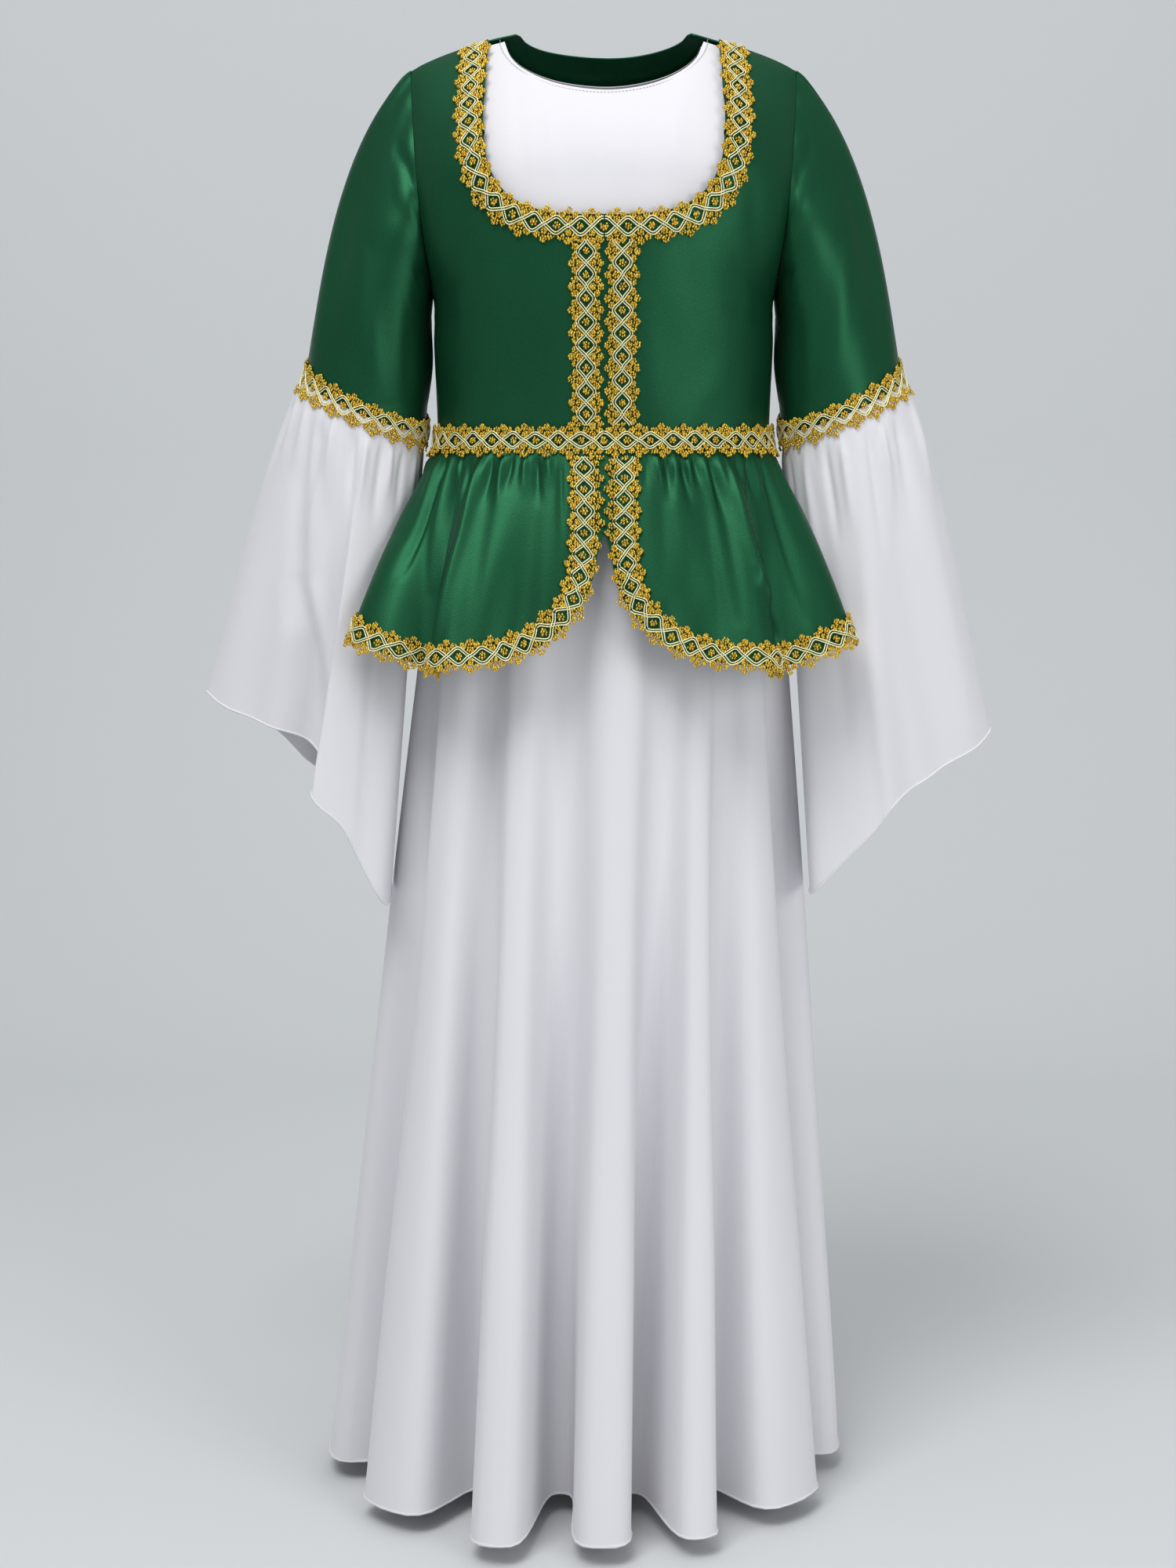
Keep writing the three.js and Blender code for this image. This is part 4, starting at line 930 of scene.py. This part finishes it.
def lace_knots(band, rng):
    rows = []
    for k in np.arange(-1, band.pitches + 1) + band.phase:
        for edge in (1, -1):
            for x, y in SCALLOP_ROSETTES:
                middle = (k + 0.5) * PITCH + x
                rows.append(rosette(middle, edge * y, ROSETTE_KNOTS, ROSETTE_RADIUS, rng.uniform(0, 1)))
        rows.append(rosette(k * PITCH, 0, FLOWER_KNOTS, FLOWER_RADIUS, rng.uniform(0, 1)))
    rows.append(rosette((band.pitches + band.phase) * PITCH, 0, FLOWER_KNOTS, FLOWER_RADIUS, 0))
    spots = np.vstack(rows)
    spots[:, :2] += rng.normal(0, KNOT_SCATTER, (len(spots), 2))
    end = band.pitches * PITCH
    spots = spots[(spots[:, 0] > -KNOT_MARGIN) & (spots[:, 0] < end + KNOT_MARGIN)]
    height = KNOT_HEIGHT + rng.uniform(*KNOT_RISES, len(spots))
    centres = band.place(spots[:, 0] / PITCH, spots[:, 1], height)
    return knots(centres, spots[:, 2] * rng.uniform(*KNOT_SIZES, len(spots)))


def lace_cords(band, segments=12):
    """Two doubled cords that wave against each other and cross once in each pitch."""
    at = np.linspace(0, band.pitches, band.pitches * segments + 1)
    angle = np.pi * (at - band.phase)
    wave = CORD_WAVE * (np.cos(angle) + CORD_POINT * np.cos(3 * angle)) / (1 + CORD_POINT)
    wave += CORD_WANDER * np.sin(1.7 * angle + 1.3 * np.sin(0.31 * angle))
    parts = []
    for way in (1, -1):
        height = CORD_HEIGHT + CORD_CROSSING * way * np.sin(angle)
        slope = np.gradient(way * wave, at * PITCH)
        lean = np.sqrt(1 + slope**2)
        for offset in (-STRAND_OFFSET, STRAND_OFFSET):
            width = way * wave + offset / lean * STRAND_SPREAD
            along = at - offset * slope / lean / PITCH
            parts.append(tube(band.place(along, width, height), STRAND_RADIUS, sides=5))
    return join_parts(parts)


def surface_band(surface, path, outward_from, phase=0.0, lift=0.3, step=2.0, tiny=0.05):
    """The rails of a band laid on a surface along a path of its two coordinates."""
    path = np.asarray(path, float)
    numbered = np.column_stack([np.arange(len(path)), path])
    dense = along_line(numbered, np.linspace(0, 1, 40 * len(path)))[:, 1:]
    lengths = lengths_along(surface(dense[:, 0], dense[:, 1]))
    stations = np.linspace(0, lengths[-1], int(lengths[-1] / step))
    p, q = walk(dense, lengths, stations).T
    along_p = (surface(p + tiny, q) - surface(p - tiny, q)) / (2 * tiny)
    along_q = (surface(p, q + tiny) - surface(p, q - tiny)) / (2 * tiny)
    onward = np.gradient(surface(p, q), axis=0)
    normal = np.cross(along_p, along_q)
    side = np.cross(normal, onward)
    side /= np.linalg.norm(side, axis=1, keepdims=True)
    dot = lambda one, other: (one * other).sum(1)
    pp, pq, qq = dot(along_p, along_p), dot(along_p, along_q), dot(along_q, along_q)
    sp, sq = dot(side, along_p), dot(side, along_q)
    determinant = pp * qq - pq * pq
    dp, dq = (sp * qq - sq * pq) / determinant, (sq * pp - sp * pq) / determinant
    rails = [surface(p + dp * w, q + dq * w) for w in (-BAND_HALF, 0.0, BAND_HALF)]
    return Band(rails, outward_from, phase, lift)


def middle_axis(point):
    return point * np.array([0.0, 0.0, 1.0])


def cuff_axis(point):
    return CUFF_MIDDLE + 0 * point


# ---- materials ----
def new_material(name):
    material = bpy.data.materials.new(name)
    material.use_nodes = True
    nodes = material.node_tree.nodes
    return material, nodes, material.node_tree.links, nodes["Principled BSDF"]


def noise(nodes, links, scale, detail, stretch=None):
    """A noise texture in the object's own space; scale and stretch are the group's input sockets."""
    place = nodes.new("ShaderNodeTexCoord").outputs["Object"]
    if stretch:
        mapping = nodes.new("ShaderNodeMapping")
        links.new(place, mapping.inputs["Vector"])
        links.new(stretch, mapping.inputs["Scale"])
        place = mapping.outputs["Vector"]
    texture = nodes.new("ShaderNodeTexNoise")
    texture.inputs["Detail"].default_value = detail
    links.new(place, texture.inputs["Vector"])
    links.new(scale, texture.inputs["Scale"])
    return texture.outputs["Fac"]


def new_thread_effect():
    """The effect that cloths and laces share: a colour between a dark and a light one, from a broad tone
    and the threads' grain, and a height from the grain."""
    group = bpy.data.node_groups.new("thread_effect", "ShaderNodeTree")
    sockets = (("Dark", "NodeSocketColor"), ("Light", "NodeSocketColor"),
               ("Dark Up To", "NodeSocketFloat"), ("Light From", "NodeSocketFloat"),
               ("Tone Scale", "NodeSocketFloat"), ("Grain Scale", "NodeSocketFloat"),
               ("Grain Stretch", "NodeSocketVector"))
    for label, kind in sockets:
        group.interface.new_socket(label, in_out="INPUT", socket_type=kind)
    for label, kind in (("Color", "NodeSocketColor"), ("Height", "NodeSocketFloat")):
        group.interface.new_socket(label, in_out="OUTPUT", socket_type=kind)
    nodes, links = group.nodes, group.links
    given = nodes.new("NodeGroupInput").outputs
    made = nodes.new("NodeGroupOutput").inputs
    tone = noise(nodes, links, given["Tone Scale"], TONE_DETAIL)
    grain = noise(nodes, links, given["Grain Scale"], GRAIN_DETAIL, given["Grain Stretch"])
    half_tone = nodes.new("ShaderNodeMath")
    half_tone.operation = "MULTIPLY"
    half_tone.inputs[1].default_value = 0.5
    links.new(tone, half_tone.inputs[0])
    mean = nodes.new("ShaderNodeMath")
    mean.operation = "MULTIPLY_ADD"
    mean.inputs[1].default_value = 0.5
    links.new(grain, mean.inputs[0])
    links.new(half_tone.outputs[0], mean.inputs[2])
    share = nodes.new("ShaderNodeMapRange")
    links.new(mean.outputs[0], share.inputs["Value"])
    links.new(given["Dark Up To"], share.inputs["From Min"])
    links.new(given["Light From"], share.inputs["From Max"])
    blend = nodes.new("ShaderNodeMix")
    blend.data_type = "RGBA"
    factor, dark, light = blend.inputs[0], blend.inputs[6], blend.inputs[7]
    links.new(share.outputs["Result"], factor)
    links.new(given["Dark"], dark)
    links.new(given["Light"], light)
    links.new(blend.outputs[2], made["Color"])
    links.new(grain, made["Height"])
    return group


TONE_DETAIL, GRAIN_DETAIL = 3, 2
thread_effect = new_thread_effect()


def new_thread_material(name, *, colours, colour_stops, scales, stretch, bump, finish):
    """A material of threads: the shared effect with its own values, and the plain values in `finish`."""
    material, nodes, links, shader = new_material(name)
    effect = nodes.new("ShaderNodeGroup")
    effect.node_tree = thread_effect
    own_values = {
        "Dark": (*colours[0], 1),
        "Light": (*colours[1], 1),
        "Dark Up To": colour_stops[0],
        "Light From": colour_stops[1],
        "Tone Scale": scales[0],
        "Grain Scale": scales[1],
        "Grain Stretch": stretch,
    }
    for label, value in own_values.items():
        effect.inputs[label].default_value = value
    grain_bump = nodes.new("ShaderNodeBump")
    grain_bump.inputs["Strength"].default_value, grain_bump.inputs["Distance"].default_value = bump
    links.new(effect.outputs["Color"], shader.inputs["Base Color"])
    links.new(effect.outputs["Height"], grain_bump.inputs["Height"])
    links.new(grain_bump.outputs["Normal"], shader.inputs["Normal"])
    for label, value in finish.items():
        shader.inputs[label].default_value = value
    return material


satin = new_thread_material(
    "green_satin", colours=((0.0090, 0.073, 0.031), (0.0125, 0.104, 0.044)), colour_stops=(0.3, 0.7),
    scales=(9, 1300), stretch=(1, 1, 0.6), bump=(0.25, 0.0004),
    finish={"Metallic": 0.58, "Roughness": 0.43, "Specular IOR Level": 0.15})
crepe = new_thread_material(
    "white_crepe", colours=((0.75, 0.74, 0.775), (0.79, 0.78, 0.81)), colour_stops=(0.3, 0.7),
    scales=(5, 2600), stretch=(1, 1, 1), bump=(0.10, 0.0003),
    finish={"Roughness": 0.8, "Specular IOR Level": 0.3, "Sheen Weight": 0.15, "Sheen Roughness": 0.5,
            "Subsurface Weight": 0.12, "Subsurface Radius": (0.004, 0.004, 0.005)})
gimp = {"colour_stops": (0.40, 0.60), "scales": (700, 3000), "stretch": (1, 1, 1), "bump": (0.5, 0.0004)}
# The gold knots' dark and light colours are partly painted shade and painted glints: besides the thread's
# own uneven tone, the noise spreads dark spots for the shade between the loops and bright spots for
# highlights over each knot.
gold = new_thread_material(
    "gold_boucle", colours=((0.42, 0.19, 0.006), (1.0, 0.76, 0.10)), **gimp,
    finish={"Metallic": 0.6, "Roughness": 0.28})
pale_gold = new_thread_material(
    "pale_gold_cord", colours=((0.84, 0.76, 0.36), (1.0, 1.0, 0.68)), **gimp,
    finish={"Metallic": 0.15, "Roughness": 0.34})
thread, *_, thread_shader = new_material("white_thread")
thread_shader.inputs["Base Color"].default_value = (0.50, 0.50, 0.54, 1)
thread_shader.inputs["Roughness"].default_value = 0.7


# ---- assembly ----
def declare(thing, nodes):
    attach(thing, "root")
    if nodes:
        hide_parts(*nodes)
    return thing


HEM_UNEVENNESS = 0.16


def hem_cord(points, radius, closed, seed):
    """A narrow rolled hem along an edge, slightly uneven."""
    rng = np.random.default_rng(seed)
    uneven = radius * (1 + HEM_UNEVENNESS * rng.standard_normal(len(points)))
    return tube(points, uneven, closed=closed)


def stitches(points, gap=2.6, dash=1.7, radius=0.22):
    """A row of short stitches along a line."""
    lengths = lengths_along(points)
    parts = []
    for start in np.arange(0, lengths[-1] - dash, gap):
        at = np.array([start, start + dash / 2, start + dash])
        parts.append(tube(walk(points, lengths, at), radius, sides=4))
    return join_parts(parts)


def add_lace(name, band, seed, flip=False):
    """The boucle knots of one lace, which stand for its solid, and its pale cords."""
    knot_mesh = lace_knots(band, np.random.default_rng(seed))
    parts = (("knots", knot_mesh, gold, [name]), ("cords", lace_cords(band), pale_gold, []))
    for label, (vertices, faces), material, nodes in parts:
        if flip:
            vertices, faces = mirrored(vertices), faces[:, ::-1]
        declare(new_mesh(f"{name}_{label}", vertices, faces, material), nodes)


def flip_grid(grid, flip):
    return mirrored(grid)[:, ::-1] if flip else grid


# The dress, with the stitches of its turned neck edge
NECK_TURNING = 7.5  # from the neck edge down to its stitches
STITCHES_START = 0.12  # the angle between the shoulder and the first stitch
STITCHES_HEIGHT = 0.2  # they lie this far out on the cloth


def neck_stitch_line(is_back):
    angle = np.linspace(STITCHES_START, math.pi - STITCHES_START, 200)
    half = DRESS_NECK["half"] + NECK_TURNING
    drop = DRESS_NECK["back" if is_back else "front"] + NECK_TURNING
    x = half * np.cos(angle)
    z = shoulder_ridge(DRESS_NECK["half"]) - drop * np.sin(angle)
    turn = turn_at(x, z)
    return body_point(180 - turn if is_back else turn, z, STITCHES_HEIGHT - DRESS_INSET)


for is_back, side in ((False, "front"), (True, "back")):
    node = f"dress_{side}"
    gores = [f"skirt_{side}", f"skirt_{side}_left", f"skirt_{side}_right"]
    grid = dress_grid(is_back)
    cloth = declare(shell(node + "_cloth", grid, crepe), [node, *gores])
    hem_vertices, hem_faces = hem_cord(grid[0] + [0, 0, 0.6], 0.95, False, 61)
    hem = declare(new_mesh(node + "_hem", hem_vertices, hem_faces, crepe), [])
    thread_vertices, thread_faces = stitches(neck_stitch_line(is_back))
    declare(new_mesh(node + "_stitches", thread_vertices, thread_faces, thread), [])

# The jacket's body
for side, flip in (("left", False), ("right", True)):
    node = f"jacket_front_{side}"
    cloth = shell(node + "_cloth", flip_grid(jacket_front_grid(), flip), satin)
    declare(cloth, [node])
cloth = declare(shell("jacket_back_cloth", jacket_back_grid(), satin), ["jacket_back"])

# Sleeves and flounces
for side, flip in (("left", False), ("right", True)):
    sleeve = shell(f"sleeve_{side}_cloth", flip_grid(sleeve_grid(), flip), satin, ring=True)
    declare(sleeve, [f"sleeve_{side}"])
    grid = flip_grid(flounce_grid(side), flip)
    flounce = shell(f"flounce_{side}_cloth", grid, crepe, ring=True)
    declare(flounce, [f"flounce_{side}"])
    hem_vertices, hem_faces = hem_cord(grid[-1], 0.9, True, 71)
    hem = declare(new_mesh(f"flounce_{side}_hem", hem_vertices, hem_faces, crepe), [])

# The peplum
plain_turns = np.linspace(0, PLAIN_TURN, 24)
front_turns = np.concatenate([plain_turns, np.linspace(PLAIN_TURN, PEPLUM_SEAM_TURN, 180)[1:]])
back_turns = np.linspace(PEPLUM_SEAM_TURN, 360 - PEPLUM_SEAM_TURN, 340)
for side, flip in (("left", False), ("right", True)):
    grid = flip_grid(peplum_grid(peplum_sides[side], front_turns), flip)
    cloth = declare(shell(f"peplum_front_{side}_cloth", grid, satin), [f"peplum_front_{side}"])
cloth = shell("peplum_back_cloth", peplum_grid(peplum_point, back_turns), satin)
declare(cloth, ["peplum_back"])

# Lace
PHASES = {"left": 0.0, "right": 0.5}  # where the two fronts' patterns start, in pitches
NECK_FREE_TOP = 3  # the neck's lace ends this far below the shoulder
FRONT_X = BAND_HALF - 0.4
FRONT_TOP_Z, FRONT_BOTTOM_Z = NECK_BOTTOM_Z - BAND_INSET - 9, WAIST_Z + 11
neck_path = square_neckline(BAND_INSET)
neck_path[0, 0] = 0.5
neck_path[-1, 1] -= NECK_FREE_TOP
neck_band = surface_band(front_point, neck_path, middle_axis)
edge_path = [[FRONT_X, FRONT_TOP_Z], [FRONT_X, FRONT_BOTTOM_Z]]
front_bands = {side: surface_band(front_point, edge_path, middle_axis, phase)
               for side, phase in PHASES.items()}

PROBE = 20  # the hem's slope is read over this height


def hem_path(turns):
    """The middle of the lace along the peplum's hem, as turns and heights."""
    hem_z = peplum_hem(signed_turn(turns))[2]
    above = peplum_point(turns, hem_z + PROBE)
    rise = PROBE / np.linalg.norm(above - peplum_point(turns, hem_z), axis=1)
    return np.column_stack([turns, hem_z + BAND_INSET * rise])


# The lace's middle down a front's edge and round its corner, as turns and heights.
CORNER_PATH = np.array([
    [5, -309], [4.8, -337], [4.8, -358], [5.1, -372], [5.6, -384], [6.4, -396], [7.6, -407], [9.5, -415.5],
    [12, -422.5], [15, -429.3], [18, -435.4], [20.5, -439.4], [23, -442.3],
], float)
CORNER_END_TURN = 25.5
PEPLUM_LIFT, WAIST_LIFT, CUFF_LIFT = 0.7, 1.0, 0.5  # the laces' heights over their rails
WAIST_ROLL = 0.4  # how far the waist seam stands out under its lace
FIRST_TURN = 0.01  # the waist's lace starts beside the front edges' meeting
LOWER_SLEEVE_LENGTH = 175  # the sleeve's length for the lace above its cuff

front_path = np.vstack([CORNER_PATH, hem_path(np.linspace(CORNER_END_TURN, PEPLUM_SEAM_TURN, 120))])
back_path = hem_path(np.linspace(PEPLUM_SEAM_TURN, 360 - PEPLUM_SEAM_TURN, 260))
peplum_bands = {side: surface_band(peplum_sides[side], front_path, middle_axis, phase, PEPLUM_LIFT)
                for side, phase in PHASES.items()}
waist_turns = np.linspace(FIRST_TURN, 360 - FIRST_TURN, 481)
waist_rails = [peplum_point(waist_turns, WAIST_Z - BAND_HALF),
               body_point(waist_turns, WAIST_Z, WAIST_ROLL),
               body_point(waist_turns, WAIST_Z + BAND_HALF)]
cuff_turns = np.linspace(0, 2 * np.pi, 240)

add_lace("trim_waist", Band(waist_rails, middle_axis, lift=WAIST_LIFT), 81)
add_lace("trim_peplum_back", surface_band(peplum_point, back_path, middle_axis, 0, PEPLUM_LIFT), 82)
for side, flip in (("left", False), ("right", True)):
    add_lace(f"trim_neck_{side}", neck_band, 83 + flip, flip)
    add_lace(f"trim_front_{side}", front_bands[side], 85 + flip, flip)
    add_lace(f"trim_peplum_{side}", peplum_bands[side], 87 + flip, flip)
    cuff_rails = [flounce_point(side, cuff_turns, BAND_HALF / FLOUNCE_LENGTH),
                  cuff_point(cuff_turns),
                  sleeve_point(cuff_turns, 1 - BAND_HALF / LOWER_SLEEVE_LENGTH)]
    add_lace(f"trim_cuff_{side}", Band(cuff_rails, cuff_axis, lift=CUFF_LIFT), 89 + flip, flip)


# ---- stage, lights and camera ----
FLOOR_Z = -1100
FLOOR_NEAR, BEND_START, BEND_RADIUS = -4000, 1200, 800
WALL_TOP, FLOOR_HALF = 4500, 5000


def make_stage():
    """A pale floor that curves up into a wall behind."""
    bend = [(BEND_START + BEND_RADIUS * math.sin(angle), BEND_RADIUS * (1 - math.cos(angle)))
            for angle in np.linspace(0.1, math.pi / 2, 12)]
    profile = [(FLOOR_NEAR, 0), (BEND_START, 0), *bend, (BEND_START + BEND_RADIUS, WALL_TOP)]
    rows = np.array([[[x, y, FLOOR_Z + z] for x in (-FLOOR_HALF, FLOOR_HALF)] for y, z in profile])
    vertices = rows.reshape(-1, 3)
    faces = np.array([[2 * i, 2 * i + 1, 2 * i + 3, 2 * i + 2] for i in range(len(profile) - 1)])
    pale, *_, shader = new_material("pale_floor")
    shader.inputs["Base Color"].default_value = (0.70, 0.72, 0.73, 1)
    shader.inputs["Roughness"].default_value = 0.9
    new_mesh("floor", vertices, faces, pale)


def area_light(name, place, target, size, power):
    data = bpy.data.lights.new(name, "AREA")
    data.shape, data.size, data.energy = "SQUARE", size, power
    light = bpy.data.objects.new(name, data)
    bpy.context.scene.collection.objects.link(light)
    light.location = place
    way = np.array(target) - np.array(place)
    tilt = math.atan2(math.hypot(way[0], way[1]), -way[2])
    light.rotation_euler = (tilt, 0, math.atan2(-way[0], way[1]))


make_stage()
area_light("key", (-0.9, -2.0, 2.6), (0, 0, -0.4), 1.7, 72)
area_light("fill", (1.9, -2.4, 0.2), (0, 0, -0.5), 1.4, 24)
area_light("top", (0, -0.4, 2.2), (0, 0, -0.5), 1.6, 14)

world = bpy.data.worlds.new("studio")
world.use_nodes = True
background = world.node_tree.nodes["Background"].inputs
background["Color"].default_value = (0.93, 0.96, 1, 1)
background["Strength"].default_value = 0.37
bpy.context.scene.world = world
bpy.context.scene.view_settings.view_transform = "Standard"

camera_data = bpy.data.cameras.new("camera")
camera_data.sensor_width = 36
camera_data.lens = 57.69
camera = bpy.data.objects.new("camera", camera_data)
camera.location = (-0.0115, -1.9, -0.3)
camera.rotation_euler = (math.radians(82.32), 0, 0)
bpy.context.scene.collection.objects.link(camera)
bpy.context.scene.camera = camera
